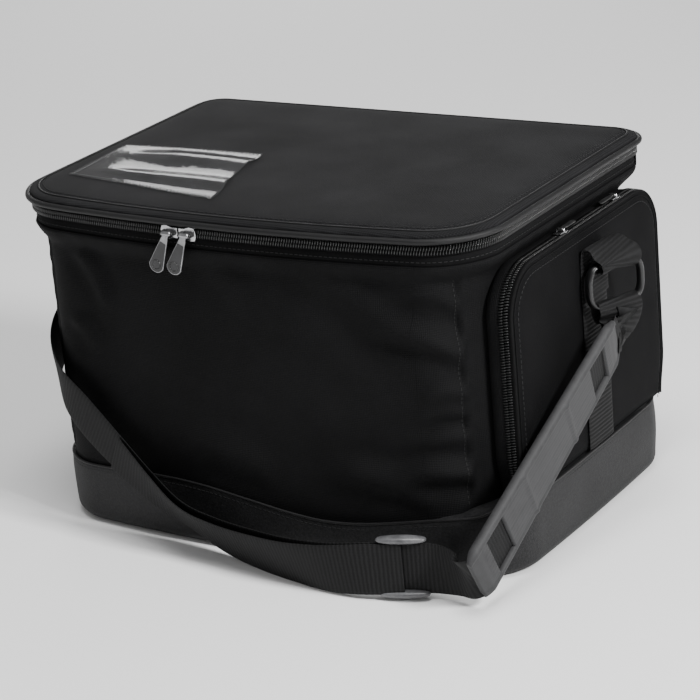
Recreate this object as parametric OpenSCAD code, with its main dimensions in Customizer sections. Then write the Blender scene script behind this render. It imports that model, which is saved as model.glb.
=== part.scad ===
// Soft padded carrying case for an electrician's test instrument.
// Origin: centre of the base on the floor. +Z up, front towards -Y, side pocket towards +X.

/* [Body] */
// Distance from the centre plane to the left wall
body_left = 195; // [180:1:205]
// Distance from the centre plane to the right wall, behind the pocket
body_right = 193; // [180:1:200]
// Distance from the centre plane to the ends of the front wall
body_front = 140; // [130:1:142]
// Distance from the centre plane to the back wall
body_back = 135; // [125:1:136]
// Plan radius of the body's corners
body_corner = 44; // [36:1:48]
// How far the front wall bows out at its middle
front_bow = 15; // [8:1:18]
// Thickness of the outer fabric
fabric_t = 1.4; // [1:0.1:2]
// Thickness of the foam in the walls
foam_t = 8; // [5:0.5:10]
// Thickness of the lining
lining_t = 1; // [0.6:0.1:1.4]

/* [Boot] */
// Height of the rubberised boot
boot_h = 52; // [40:1:56]
// Distance from the centre plane to the boot's right side, under the pocket
boot_right = 213; // [208:1:216]
// Bottom edge radius of the boot
boot_edge = 8; // [4:1:10]
// How far the boot stands out from the walls
boot_out = 2.2; // [2:0.1:4]
// How far the boot's right side bows out at its middle
boot_bow = 3; // [0:1:6]

/* [Lid] */
// Height of the lid's piped edge above the floor
lid_edge_z = 264; // [262:0.5:266]
// Distance from the centre plane to the lid's left and right edges
lid_half = 205; // [200:1:207]
// Distance from the centre plane to the ends of the lid's front edge
lid_front = 149; // [146:1:151]
// Plan radius of the lid's corners
lid_corner = 48; // [40:1:52]
// Length of the label window along the lid's width
window_w = 125; // [100:1:130]
// Length of the label window from front to back
window_l = 95; // [80:1:100]

/* [Pocket] */
// Distance from the centre plane to the pocket's face
pocket_face = 215; // [213:0.5:216]
// Front end of the pocket
pocket_front = -108; // [-112:1:-100]
// Back end of the pocket
pocket_back = 126; // [110:1:128]
// Height of the pocket's top above the floor
pocket_top = 232; // [225:1:234]
// Radius of the pocket's top corners
pocket_corner = 38; // [30:1:45]

/* [Zips] */
// Radius of one row of the main zip's coil
coil_r = 1.6; // [1.2:0.1:1.8]
// Length of a main zip slider
slider_l = 15; // [12:0.5:16]
// Length of a main zip pull
pull_l = 34; // [28:1:36]
// Width of a main zip pull
pull_w = 13.5; // [11:0.5:14]
// Slant of the two main pulls, in degrees
pull_slant = 25; // [0:1:28]

/* [Strap] */
// Width of the webbing
web_w = 40; // [36:1:40]
// Thickness of the webbing
web_t = 1.8; // [1.4:0.1:2]
// Length of the shoulder pad
pad_l = 210; // [205:1:210]
// Width of the shoulder pad
pad_w = 50; // [48:1:52]
// Thickness of the shoulder pad
pad_t = 8; // [7:0.5:8]
// Width of a strap ring across its outside
ring_w = 54; // [52:0.5:56]
// Height of a strap ring across its outside
ring_h = 40; // [36:0.5:42]
// Thickness of a strap ring
ring_t = 4.4; // [4:0.1:4.6]

/* [Hidden] */
$fn = 48;

fabric = [0.10, 0.10, 0.11];
lid_fabric = [0.15, 0.15, 0.16];
boot_grey = [0.22, 0.22, 0.23];
web_black = [0.07, 0.07, 0.08];
pad_grey = [0.33, 0.33, 0.34];
coil_black = [0.05, 0.05, 0.05];
metal = [0.75, 0.75, 0.76];

// Levels of the body, from the floor up
collar_z = 233;
rim_z = 240;
seam_z = lid_edge_z - 8;
coil_body_z = seam_z - coil_r - 0.1;
coil_lid_z = seam_z + coil_r + 0.1;
base_top = 14;

// Outlines: every one has the same number of points, so walls can be lofted and split
run_n = 8;
corner_n = 6;
outline_n = 4 * (corner_n + run_n);
half_corner = corner_n / 2;
first_right = half_corner;
first_back = first_right + corner_n + run_n;
first_left = first_back + corner_n + run_n;
first_front = first_left + corner_n + run_n;
quarter_n = corner_n + run_n;

function arc(cx, cy, r, start) =
    [for (k = [0:corner_n]) let (a = start + 90 * k / corner_n) [cx + r * cos(a), cy + r * sin(a)]];
function run(p, q) = [for (k = [1:run_n - 1]) p + (q - p) * k / run_n];
function box_outline(x0, x1, y0, y1, r) = concat(
    arc(x1 - r, y0 + r, r, -90), run([x1, y0 + r], [x1, y1 - r]),
    arc(x1 - r, y1 - r, r, 0), run([x1 - r, y1], [x0 + r, y1]),
    arc(x0 + r, y1 - r, r, 90), run([x0, y1 - r], [x0, y0 + r]),
    arc(x0 + r, y0 + r, r, 180), run([x0 + r, y0], [x1 - r, y0]));
function bowed(p, half, bow) =
    p[1] < 0 ? [p[0], p[1] - bow * max(0, 1 - pow(p[0] / half, 2))] : p;

// One level of a wall: half sizes drawn in by inset, at height z
function level(z, left, right, front, back, r, bow, inset) =
    [for (p = box_outline(-left + inset, right - inset, -front + inset, back - inset, r - inset))
        let (q = bowed(p, min(left, right) - inset, bow)) [q[0], q[1], z]];
function body_level(z, inset) =
    level(z, body_left, body_right, body_front, body_back, body_corner, front_bow, inset);
function side_bowed(p, bow) =
    p[0] > 0 ? [p[0] + bow * max(0, 1 - pow(p[1] / body_front, 2)), p[1], p[2]] : p;
function boot_level(z, inset) =
    [for (q = level(z, body_left + boot_out, boot_right, body_front + boot_out,
        body_back + boot_out, body_corner + boot_out, front_bow, inset)) side_bowed(q, boot_bow)];
function lid_level(z, inset) =
    level(z, lid_half, lid_half, lid_front, body_back + 3, lid_corner, front_bow + 2, inset);

function quad(a, b, c, d) = [[a, b, c], [a, c, d]];

// Closed wall between an outer and an inner stack of levels, from point a to point b
module wall(outer, inner, a, b) {
    rows = len(outer);
    closed = b - a == outline_n;
    m = closed ? outline_n : b - a + 1;
    span = closed ? m - 1 : m - 2;
    pts = concat(
        [for (l = outer) for (i = [0:m - 1]) l[(a + i) % outline_n]],
        [for (l = inner) for (i = [0:m - 1]) l[(a + i) % outline_n]]);
    o = rows * m;
    last = rows - 1;
    faces = concat(
        [for (r = [0:rows - 2]) for (i = [0:span]) let (j = (i + 1) % m)
            each quad(r * m + i, (r + 1) * m + i, (r + 1) * m + j, r * m + j)],
        [for (r = [0:rows - 2]) for (i = [0:span]) let (j = (i + 1) % m)
            each quad(o + r * m + i, o + r * m + j, o + (r + 1) * m + j, o + (r + 1) * m + i)],
        [for (i = [0:span]) let (j = (i + 1) % m) each quad(i, j, o + j, o + i)],
        [for (i = [0:span]) let (j = (i + 1) % m)
            each quad(last * m + i, o + last * m + i, o + last * m + j, last * m + j)],
        closed ? [] : [for (r = [0:rows - 2])
            each quad(r * m, o + r * m, o + (r + 1) * m, (r + 1) * m)],
        closed ? [] : [for (r = [0:rows - 2]) let (e = m - 1)
            each quad(r * m + e, (r + 1) * m + e, o + (r + 1) * m + e, o + r * m + e)]);
    polyhedron(points = pts, faces = faces, convexity = 8);
}

// Closed solid through a stack of whole levels, capped at both ends
module stack(levels) {
    rows = len(levels);
    n = outline_n;
    pts = [for (l = levels) each l];
    faces = concat(
        [for (r = [0:rows - 2]) for (i = [0:n - 1]) let (j = (i + 1) % n)
            each quad(r * n + i, (r + 1) * n + i, (r + 1) * n + j, r * n + j)],
        [[for (i = [0:n - 1]) i]],
        [[for (i = [n - 1:-1:0]) (rows - 1) * n + i]]);
    polyhedron(points = pts, faces = faces, convexity = 4);
}

// Solid swept through equal sections, each a list of points; ends are capped unless closed
module skin(sections, closed = false) {
    rows = len(sections);
    n = len(sections[0]);
    pts = [for (s = sections) each s];
    faces = concat(
        [for (r = [0:rows - (closed ? 1 : 2)]) for (i = [0:n - 1])
            let (j = (i + 1) % n, q = (r + 1) % rows)
            each quad(r * n + i, r * n + j, q * n + j, q * n + i)],
        closed ? [] : [[for (i = [n - 1:-1:0]) i]],
        closed ? [] : [[for (i = [0:n - 1]) (rows - 1) * n + i]]);
    polyhedron(points = pts, faces = faces, convexity = 6);
}

function unit(v) = v / norm(v);
function tangent(path, k) =
    unit(path[min(k + 1, len(path) - 1)] - path[max(k - 1, 0)]);
function ring_tangent(loop, k) =
    unit(loop[(k + 1) % len(loop)] - loop[(k + len(loop) - 1) % len(loop)]);

// Round cord along points a to b of a level
module rim_cord(loop, r, a, b, sides = 8) {
    closed = b - a == outline_n;
    skin([for (i = [a:closed ? b - 1 : b])
        let (k = i % outline_n, t = ring_tangent(loop, k), out = [t[1], -t[0], 0])
        [for (s = [0:sides - 1]) loop[k] + r * (cos(360 * s / sides) * out
            + sin(360 * s / sides) * [0, 0, 1])]], closed);
}

// Smooth curve through hand-placed points, each [place, direction of the webbing's width]
function blend4(a, b, c, d, t) =
    0.5 * ((2 * b) + (c - a) * t + (2 * a - 5 * b + 4 * c - d) * t * t
    + (3 * b - a - 3 * c + d) * t * t * t);
function smooth(list, steps) = concat(
    [for (k = [0:len(list) - 2]) for (s = [0:steps - 1])
        blend4(list[max(k - 1, 0)], list[k], list[k + 1], list[min(k + 2, len(list) - 1)], s / steps)],
    [list[len(list) - 1]]);

// Flat band of webbing: half width hw and thickness th, moved off its middle by lift
module band(route, width, hw, th, lift = 0) {
    skin([for (k = [0:len(route) - 1])
        let (t = tangent(route, k), w = unit(width[k] - (width[k] * t) * t), n = cross(t, w),
            c = route[k] + lift * n)
        [c - hw * w - th / 2 * n, c - hw * w + th / 2 * n,
         c + hw * w + th / 2 * n, c + hw * w - th / 2 * n]]);
}

// Route of the long part of the strap: from the left ring round the corner and along the floor
strap_places = [[-203.5, 4, 158], [-204.5, -1, 149], [-205, -38, 144], [-205, -68, 144],
    [-202.5, -97, 140], [-191.5, -126.5, 130], [-172, -148, 114], [-147, -157, 95], [-115, -163, 71],
    [-82, -168, 50], [-48, -172, 34], [-14, -176, 23.5], [22, -183, 20.2], [58, -191, 20.4],
    [92, -196, 21.6], [122, -194, 24], [148, -185, 24.6], [168, -177.5, 24.3]];
strap_widths = [[0, -1, 0], [0, -0.9, 0.4], [0, -0.3, 0.95], [0, -0.2, 0.98], [0, -0.4, 0.9],
    [0.2, -0.5, 0.83], [0.3, -0.35, 0.85], [0.45, -0.25, 0.83], [0.45, -0.3, 0.84],
    [0.35, -0.45, 0.8], [0.3, -0.65, 0.7], [0.25, -0.55, 0.8], [0.2, -0.45, 0.87],
    [0.1, -0.35, 0.93], [0, -0.15, 1], [0, 0, 1], [0, 0, 1], [0, 0, 1]];
strap_steps = 3;
strap_route = smooth(strap_places, strap_steps);
strap_width = smooth(strap_widths, strap_steps);

// Route of the short part of the strap, through the pad to the right ring
ring_at = [234, 6, 188];
ring_turn = 65;
pad_low = [212, -186, 30.5];
pad_high = [235, -2, 146];
pad_side = [0.02, -0.56, 0.83];
pad_dir = unit(pad_high - pad_low);
pad_end = 10;
drop_places = [[170, -176.8, 24.3], [188, -178, 25], pad_low - pad_end * pad_dir, pad_low,
    (pad_low + pad_high) / 2, pad_high, pad_high + pad_end / 2 * pad_dir];
drop_widths = [[0, 0, 1], [0, -0.25, 0.95], pad_side, pad_side, pad_side, pad_side, pad_side];
drop_route = smooth(drop_places, strap_steps);
drop_width = smooth(drop_widths, strap_steps);

left_ring_at = [-203.6, 4, 188];
anchor_y = 6;

// ---- Boot ----
module boot_base() color(boot_grey)
    stack([boot_level(0, boot_edge), boot_level(1.5, boot_edge / 2 - 1.5),
        boot_level(boot_edge / 2, 1), boot_level(boot_edge, 0)]);
module boot_wall(a) color(boot_grey)
    wall([boot_level(boot_edge, 0), boot_level(boot_h - 2, 0), boot_level(boot_h, 0.5)],
        [boot_level(boot_edge, fabric_t + 0.4), boot_level(boot_h - 2, fabric_t + 0.4),
         boot_level(boot_h, fabric_t + 0.4)], a, a + quarter_n);
module boot_front() boot_wall(first_front);
module boot_right() boot_wall(first_right);
module boot_back() boot_wall(first_back);
module boot_left() boot_wall(first_left);
module boot_piping() color(boot_grey)
    rim_cord(boot_level(boot_h + 0.8, 0.9), 0.8, 0, outline_n, 6);

// ---- Body ----
module body_panel(a) color(fabric)
    wall([body_level(boot_edge, 0), body_level(collar_z, 0), lid_level(rim_z, 4)],
        [body_level(boot_edge, fabric_t), body_level(collar_z, fabric_t),
         lid_level(rim_z, 4 + fabric_t)], a, a + quarter_n);
module panel_front() body_panel(first_front);
module panel_right() body_panel(first_right);
module panel_back() body_panel(first_back);
module panel_left() body_panel(first_left);
module foam_wall(a) color([0.3, 0.3, 0.32])
    wall([body_level(base_top, fabric_t), body_level(collar_z, fabric_t),
          lid_level(rim_z, 4 + fabric_t)],
        [body_level(base_top, fabric_t + foam_t), body_level(collar_z, fabric_t + foam_t),
         lid_level(rim_z, 4 + fabric_t + foam_t)], a, a + quarter_n);
module foam_front() foam_wall(first_front);
module foam_right() foam_wall(first_right);
module foam_back() foam_wall(first_back);
module foam_left() foam_wall(first_left);
module base_board() color([0.25, 0.22, 0.2])
    stack([body_level(boot_edge, fabric_t), body_level(boot_edge + 2, fabric_t)]);
module base_foam() color([0.3, 0.3, 0.32])
    stack([body_level(boot_edge + 2, fabric_t), body_level(base_top, fabric_t)]);
module lining() color([0.2, 0.2, 0.21]) {
    inset = fabric_t + foam_t;
    wall([body_level(base_top, inset), body_level(collar_z, inset),
          lid_level(rim_z, 4 + inset)],
        [body_level(base_top, inset + lining_t), body_level(collar_z, inset + lining_t),
         lid_level(rim_z, 4 + inset + lining_t)], 0, outline_n);
}

// ---- Main zip and hinge ----
zip_from = first_left;
zip_to = first_left + 3 * quarter_n;
module body_zip_tape() color(web_black)
    wall([lid_level(rim_z, 4), lid_level(coil_body_z - coil_r, 3)],
        [lid_level(rim_z, 5.2), lid_level(coil_body_z - coil_r, 4.2)], zip_from, zip_to);
module body_zip_coil() color(coil_black)
    rim_cord(lid_level(coil_body_z, 3.2), coil_r, zip_from, zip_to);
module lid_zip_tape() color(web_black)
    wall([lid_level(coil_lid_z + coil_r, 3), lid_level(lid_edge_z, 3)],
        [lid_level(coil_lid_z + coil_r, 4.2), lid_level(lid_edge_z, 4.2)], zip_from, zip_to);
module lid_zip_coil() color(coil_black)
    rim_cord(lid_level(coil_lid_z, 3.2), coil_r, zip_from, zip_to);
module lid_hinge_tape() color(web_black)
    wall([lid_level(seam_z + 0.5, 4), lid_level(lid_edge_z, 4)],
        [lid_level(seam_z + 0.5, 5.2), lid_level(lid_edge_z, 5.2)], first_back, first_left);
module hinge_tape() color(web_black)
    wall([lid_level(rim_z, 4), lid_level(seam_z - 0.6, 4)],
        [lid_level(rim_z, 5.2), lid_level(seam_z - 0.6, 5.2)], first_back, first_left);

// ---- Lid ----
module lid_panel() color(lid_fabric)
    stack([lid_level(lid_edge_z, 2.4), lid_level(lid_edge_z + 2, 1), lid_level(lid_edge_z + 4, 8),
        lid_level(lid_edge_z + 5, 16)]);
module lid_foam() color([0.3, 0.3, 0.32])
    stack([lid_level(seam_z + 4, 6), lid_level(lid_edge_z, 6)]);
module lid_lining() color([0.2, 0.2, 0.21])
    stack([lid_level(seam_z + 3, 6), lid_level(seam_z + 4, 6)]);
module lid_piping() color(fabric)
    rim_cord(lid_level(lid_edge_z - 0.6, -0.3), 2.4, 0, outline_n);
module label_window() color([0.8, 0.85, 0.9, 0.4])
    translate([-118, -64, lid_edge_z + 5])
        linear_extrude(0.7)
            polygon([[-window_w / 2, -window_l * 0.42], [window_w / 2 + 8, -window_l * 0.66],
                [window_w / 2 - 2, window_l * 0.5], [-window_w / 2, window_l * 0.5]]);

// ---- Main sliders: they run on an arc about a vertical axis far behind the case ----
front_y = -(lid_front + front_bow + 2);
arc_r = lid_half * lid_half / (2 * (front_bow + 2));
slider_xs = [-41, -25];
pin_r = 1;
pin_out = 4.6;
module on_arc(x) {
    a = asin(x / arc_r);
    translate([0, front_y + arc_r, 0]) rotate([0, 0, a]) translate([0, -arc_r, 0]) children();
}
module main_slider(x) color(metal) on_arc(x) {
    translate([-slider_l / 2, 3.2 - coil_r - 0.5 - 1.6, seam_z - 4.4]) cube([slider_l, 1.6, 8]);
    translate([-slider_l / 2, 3.2 - coil_r - 0.5, seam_z - 4.9]) cube([slider_l, 1.6, 1.1]);
    for (side = [-1, 1])
        translate([side * 5 - 0.7, -pin_out, seam_z - 1.4]) cube([1.4, pin_out, 2.8]);
    translate([-5, -pin_out, seam_z]) rotate([0, 90, 0]) cylinder(h = 10, r = pin_r);
}
module main_pull(x) color([0.3, 0.3, 0.32]) on_arc(x)
    translate([0, -pin_out, seam_z]) difference() {
        union() {
            translate([-4, 0, 0]) rotate([0, 90, 0]) cylinder(h = 8, r = 1.9);
            rotate([0, pull_slant, 0]) translate([0, 0.9, 0]) rotate([90, 0, 0])
                linear_extrude(1.8) difference() {
                    union() {
                        translate([-2.1, -6]) square([4.2, 6]);
                        translate([0, -pull_l + pull_w / 2]) circle(r = pull_w / 2);
                        polygon([[-3.6, -5], [3.6, -5], [pull_w / 2, -pull_l + pull_w / 2],
                            [-pull_w / 2, -pull_l + pull_w / 2]]);
                    }
                    translate([0, -8]) circle(r = 1.2);
                }
        }
        translate([-6, 0, 0]) rotate([0, 90, 0]) cylinder(h = 12, r = pin_r + 0.08);
    }
module main_slider_left() main_slider(slider_xs[0]);
module main_slider_right() main_slider(slider_xs[1]);
module main_pull_left() main_pull(slider_xs[0]);
module main_pull_right() main_pull(slider_xs[1]);

// ---- Pocket: a zipped flap that folds out from its bottom edge ----
pocket_foot = boot_h + 6;
pocket_in = body_right + 0.1;
zip_x = 206;
module pocket_shape(inset, foot) {
    r = pocket_corner - inset;
    left = pocket_front + inset;
    right = pocket_back - inset;
    top = pocket_top - inset;
    translate([left, foot]) square([right - left, top - r - foot]);
    translate([left + r, foot]) square([right - left - 2 * r, top - foot]);
    for (y = [left + r, right - r])
        translate([y, top - r]) circle(r = r);
}
module along_x(x, length) translate([x, 0, 0]) rotate([90, 0, 90]) linear_extrude(length) children();
module pocket_band(x, length, outer, inner, foot) along_x(x, length) difference() {
    pocket_shape(outer, foot);
    pocket_shape(inner, foot - 1);
}
module pocket_floor() color(boot_grey) translate([pocket_in, pocket_front + 1, boot_h + 2])
    cube([pocket_face - 1.5 - pocket_in, pocket_back - pocket_front - 2, 3.4]);
module pocket_gusset() color(fabric)
    pocket_band(pocket_in, zip_x - 1.9 - pocket_in, 1, 2.4, pocket_foot);
module pocket_coil_fixed() color(coil_black)
    pocket_band(zip_x - 1.9, 1.8, 0.2, 2.4, pocket_foot);
module pocket_coil_flap() color(coil_black)
    pocket_band(zip_x + 0.2, 1.8, 0.2, 2.4, pocket_foot);
module pocket_border() color(fabric)
    pocket_band(zip_x + 2, pocket_face - 6 - zip_x - 2, 1, 2.6, pocket_foot);
module pocket_panel() color(lid_fabric) {
    along_x(pocket_face - 6, 3) pocket_shape(1, pocket_foot);
    along_x(pocket_face - 3, 3) pocket_shape(4, pocket_foot);
}
pocket_slider_ys = [-22, 66];
pocket_zip_z = pocket_top + 0.1;
module pocket_slider(y) color(metal) translate([zip_x + 0.05, y, pocket_zip_z]) {
    translate([-4, -6, 0.4]) cube([8, 12, 1.3]);
    for (side = [-1, 1])
        translate([side * 2.9 - 0.4, -1, 1]) cube([0.8, 2, 3.2]);
    translate([-3, 0, 3.2]) rotate([0, 90, 0]) cylinder(h = 6, r = 0.8);
}
module pocket_pull(y, dir) color([0.3, 0.3, 0.32]) translate([zip_x + 0.05, y, pocket_zip_z + 3.2])
    difference() {
        union() {
            translate([-2.1, 0, 0]) rotate([0, 90, 0]) cylinder(h = 4.2, r = 1.4);
            translate([0, 0, -0.6]) linear_extrude(1.2) {
                translate([-1.8, dir > 0 ? 0 : -8]) square([3.6, 8]);
                translate([-2.2, dir > 0 ? 7 : -20]) square([4.4, 13]);
                translate([0, dir * 20]) circle(r = 2.2);
            }
        }
        translate([-4, 0, 0]) rotate([0, 90, 0]) cylinder(h = 8, r = 0.86);
    }
module pocket_slider_front() pocket_slider(pocket_slider_ys[0]);
module pocket_slider_back() pocket_slider(pocket_slider_ys[1]);
module pocket_pull_front() pocket_pull(pocket_slider_ys[0], 1);
module pocket_pull_back() pocket_pull(pocket_slider_ys[1], -1);

// ---- Rings and the webbing that holds them ----
// Frame of a ring: local X across the ring, local Z up, local Y through it
module at_ring(place, turn) translate(place) rotate([0, 0, turn]) children();
module ring_body() color(web_black) translate([0, ring_t / 2, 0]) rotate([90, 0, 0])
    linear_extrude(ring_t) difference() {
        for (side = [-1, 1]) {
            translate([side * (ring_w / 2 - 9), 0]) circle(r = 9);
            translate([side * (ring_w / 2 - 9), ring_h / 2 - 9]) circle(r = 9);
            translate([side * (ring_w / 2 - 9), -ring_h / 2 + 9]) circle(r = 9);
            translate([side > 0 ? 0 : -ring_w / 2, -ring_h / 2 + 9])
                square([ring_w / 2, ring_h - 18]);
            translate([side > 0 ? 0 : -ring_w / 2 + 9, -ring_h / 2])
                square([ring_w / 2 - 9, ring_h]);
        }
        translate([-ring_w / 2 + 5.5, -ring_h / 2 + ring_t])
            square([ring_w - 11, ring_h - 2 * ring_t]);
    }
// Webbing folded round a bar: a flat loop, its legs pointing along up
bar_z = ring_h / 2 - ring_t / 2;
upper_gap = 3.7;
lower_gap = 4.6;
upper_leg = -7;
lower_leg = 9;
module loop(z, leg, gap) color(web_black) translate([-web_w / 2, 0, z]) rotate([90, 0, 90])
    linear_extrude(web_w) difference() {
        union() {
            circle(r = gap + web_t);
            translate([-gap - web_t, leg > 0 ? 0 : leg]) square([2 * (gap + web_t), abs(leg)]);
        }
        circle(r = gap);
        translate([-gap, leg > 0 ? 0 : leg + web_t]) square([2 * gap, abs(leg) - web_t]);
    }
module ring_right() at_ring(ring_at, ring_turn) ring_body();
module ring_loop_right() color(web_black) {
    at_ring(ring_at, ring_turn) loop(bar_z, upper_leg, upper_gap);
    hull() {
        translate([pocket_face + web_t + 0.1, anchor_y - 18, 196]) cube([0.5, 36, 3]);
        at_ring(ring_at, ring_turn)
            translate([-18, upper_gap + web_t + 0.2, bar_z + upper_leg]) cube([36, 0.5, 3]);
    }
}
module anchor_web_right() color(web_black)
    translate([pocket_face + 0.05, anchor_y - web_w / 2, pocket_foot + 1])
        cube([web_t, web_w, 164]);
module strap_end_right() at_ring(ring_at, ring_turn) loop(-bar_z, lower_leg, lower_gap);
module ring_left() at_ring(left_ring_at, 90) ring_body();
module ring_loop_left() at_ring(left_ring_at, 90) loop(bar_z, upper_leg, upper_gap);
module strap_end_left() at_ring(left_ring_at, 90) loop(-bar_z, lower_leg, lower_gap);
module anchor_web_left() color(web_black)
    translate([-body_left - web_t - 0.05, anchor_y - web_w / 2, boot_h + 2])
        cube([web_t, web_w, 170]);

// ---- Strap ----
module strap_long() color(web_black) band(strap_route, strap_width, web_w / 2, web_t);
tail_from = 24;
tail_to = 49;
tail_keys = [for (k = [tail_from:tail_to]) k];
module strap_tail() color(web_black)
    band([for (k = tail_keys) strap_route[k]], [for (k = tail_keys) strap_width[k]],
        web_w / 2, web_t, web_t + 1.8);
module strap_drop() color(web_black) band(drop_route, drop_width, web_w / 2, web_t);
pad_across = unit(pad_side - (pad_side * pad_dir) * pad_dir);
module shoulder_pad() color(pad_grey) {
    middle = (pad_low + pad_high) / 2;
    route = [for (s = [-1, 1]) middle + s * pad_l / 2 * pad_dir];
    difference() {
        band(route, [pad_across, pad_across], pad_w / 2, pad_t);
        band([for (s = [-1, 1]) middle + s * (pad_l / 2 + 1) * pad_dir],
            [pad_across, pad_across], web_w / 2 + 1, web_t + 1.6);
    }
}
buckle_key = 48;
module strap_buckle() color([0.25, 0.25, 0.26]) {
    place = strap_route[buckle_key];
    along = tangent(strap_route, buckle_key);
    side = unit(strap_width[buckle_key] - (strap_width[buckle_key] * along) * along);
    difference() {
        band([place - 16 * along, place + 16 * along], [side, side], web_w / 2 + 3.6, 12.6);
        band([place - 17 * along, place + 17 * along], [side, side], web_w / 2 + 1.2, 10.2);
    }
}

boot_base();
boot_front();
boot_right();
boot_back();
boot_left();
boot_piping();
panel_front();
panel_right();
panel_back();
panel_left();
foam_front();
foam_right();
foam_back();
foam_left();
base_foam();
base_board();
lining();
body_zip_tape();
body_zip_coil();
hinge_tape();
lid_hinge_tape();
lid_panel();
lid_foam();
lid_lining();
lid_piping();
lid_zip_tape();
lid_zip_coil();
label_window();
main_slider_left();
main_slider_right();
main_pull_left();
main_pull_right();
pocket_floor();
pocket_gusset();
pocket_coil_fixed();
pocket_coil_flap();
pocket_border();
pocket_panel();
pocket_slider_front();
pocket_slider_back();
pocket_pull_front();
pocket_pull_back();
anchor_web_right();
ring_loop_right();
ring_right();
anchor_web_left();
ring_loop_left();
ring_left();
strap_long();
strap_tail();
strap_drop();
strap_end_right();
strap_end_left();
shoulder_pad();
strap_buckle();
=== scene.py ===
"""Looks of the soft carrying case: fabric, zips, webbing and pad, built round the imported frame."""

import math

import bmesh
import bpy
import numpy as np
from mathutils import Matrix, Vector, noise


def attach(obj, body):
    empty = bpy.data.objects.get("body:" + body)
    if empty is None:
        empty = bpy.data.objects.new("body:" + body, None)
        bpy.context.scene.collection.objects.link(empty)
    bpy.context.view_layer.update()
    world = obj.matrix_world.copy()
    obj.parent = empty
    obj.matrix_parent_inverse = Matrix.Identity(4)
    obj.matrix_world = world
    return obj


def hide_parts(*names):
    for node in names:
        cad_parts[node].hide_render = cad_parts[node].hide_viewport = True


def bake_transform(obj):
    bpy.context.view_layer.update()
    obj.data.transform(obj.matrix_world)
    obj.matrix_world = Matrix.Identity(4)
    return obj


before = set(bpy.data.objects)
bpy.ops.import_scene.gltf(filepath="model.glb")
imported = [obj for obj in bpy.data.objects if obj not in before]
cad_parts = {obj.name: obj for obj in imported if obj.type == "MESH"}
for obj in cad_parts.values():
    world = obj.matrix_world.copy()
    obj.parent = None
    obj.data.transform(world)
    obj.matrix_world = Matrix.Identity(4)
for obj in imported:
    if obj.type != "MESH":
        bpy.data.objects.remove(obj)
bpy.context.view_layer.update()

# ---- Sizes, in millimetres ----
MM = 0.001
UP = np.array([0.0, 0.0, 1.0])
BODY = {"left": 195, "right": 193, "front": 140, "back": 135, "corner": 44, "bow": 15}
BOOT = {"left": 197.2, "right": 213, "front": 142.2, "back": 137.2, "corner": 46.2, "bow": 15}
LID = {"left": 205, "right": 205, "front": 149, "back": 138, "corner": 48, "bow": 17, "back_corner": 26}
BOOT_TOP = 52.5
BOOT_ROUND = 9
WALL_TOP = 242
FLARE_FROM = 226
WALL_THICK = 8
FLOOR_TOP = 14.5
SEAM_Z = 256
LID_TOP = 270.4
LID_FLAT = 28
TOOTH_PITCH = 2.1
STITCH_PITCH = 4.0
POCKET = {"front": -119, "back": 126, "top": 232, "corner": 38, "foot": 57}
POCKET_BASE = 51
ZIP_X = 206
SLIDER_X = {"left": -41, "right": -25}
RUNNER_Y = {"front": -22, "back": 66}
WEB_HALF = 20
WEB_THICK = 1.8
RIB_PITCH = 3.2
PAD_LONG = 227
PAD_HALF = 25
PAD_THICK = 8

# ---- Outlines: closed loops of the same number of points, from the front right corner ----
CORNER_STEPS = 28
SIDE_STEPS = 66
QUARTER = CORNER_STEPS + SIDE_STEPS
LOOP = 4 * QUARTER
HALF_CORNER = CORNER_STEPS // 2
ZIP_FIRST = 2 * QUARTER + HALF_CORNER
ZIP_LAST = 5 * QUARTER + HALF_CORNER


def unit(v):
    v = np.asarray(v, float)
    return v / np.linalg.norm(v)


def ease(t):
    t = np.clip(t, 0, 1)
    return t * t * (3 - 2 * t)


def outline(left, right, front, back, corner, bow, inset=0.0, back_corner=0):
    """Rounded box with a bowed front, drawn in by inset, as LOOP points."""
    x0, x1 = -left + inset, right - inset
    y0, y1 = -front + inset, back - inset
    r = max(corner - inset, 3)
    rb = max((back_corner or corner) - inset, 3)
    centres = [
        (x1 - r, y0 + r, -90, r),
        (x1 - rb, y1 - rb, 0, rb),
        (x0 + rb, y1 - rb, 90, rb),
        (x0 + r, y0 + r, 180, r),
    ]
    parts = []
    for k, (cx, cy, start, radius) in enumerate(centres):
        a = np.radians(start + 90 * np.arange(CORNER_STEPS + 1) / CORNER_STEPS)
        arc = np.stack([cx + radius * np.cos(a), cy + radius * np.sin(a)], 1)
        nx, ny, turn, other = centres[(k + 1) % 4]
        b = math.radians(turn)
        end = np.array([nx + other * math.cos(b), ny + other * math.sin(b)])
        t = np.arange(1, SIDE_STEPS)[:, None] / SIDE_STEPS
        parts += [arc, arc[-1] * (1 - t) + end * t]
    points = np.concatenate(parts)
    half = min(left, right) - inset
    ahead = points[:, 1] < 0
    points[ahead, 1] -= bow * np.clip(1 - (points[ahead, 0] / half) ** 2, 0, None)
    return points


def outward(loop):
    """Unit vectors that point out of a closed flat loop."""
    along = np.roll(loop, -1, 0) - np.roll(loop, 1, 0)
    out = np.stack([along[:, 1], -along[:, 0]], 1)
    return out / np.linalg.norm(out, axis=1)[:, None]


def boot_line(inset):
    """The boot's outline, whose right side bows out a little under the pocket."""
    points = outline(**BOOT, inset=inset)
    right = points[:, 0] > 0
    points[right, 0] += 3 * np.clip(1 - (points[right, 1] / 140) ** 2, 0, None)
    return points


def boot_top(loop):
    """Height of the boot's top edge: it dips along the front and rises under the pocket."""
    x, y = loop[:, 0], loop[:, 1]
    dip = 17 * np.exp(-(((x - 70) / 85) ** 2)) * ease((-104 - y) / 32)
    return BOOT_TOP - dip - 4 * ease((-60 - x) / 100) * ease(-y / 120) + 3 * ease((x - 185) / 14)


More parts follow.
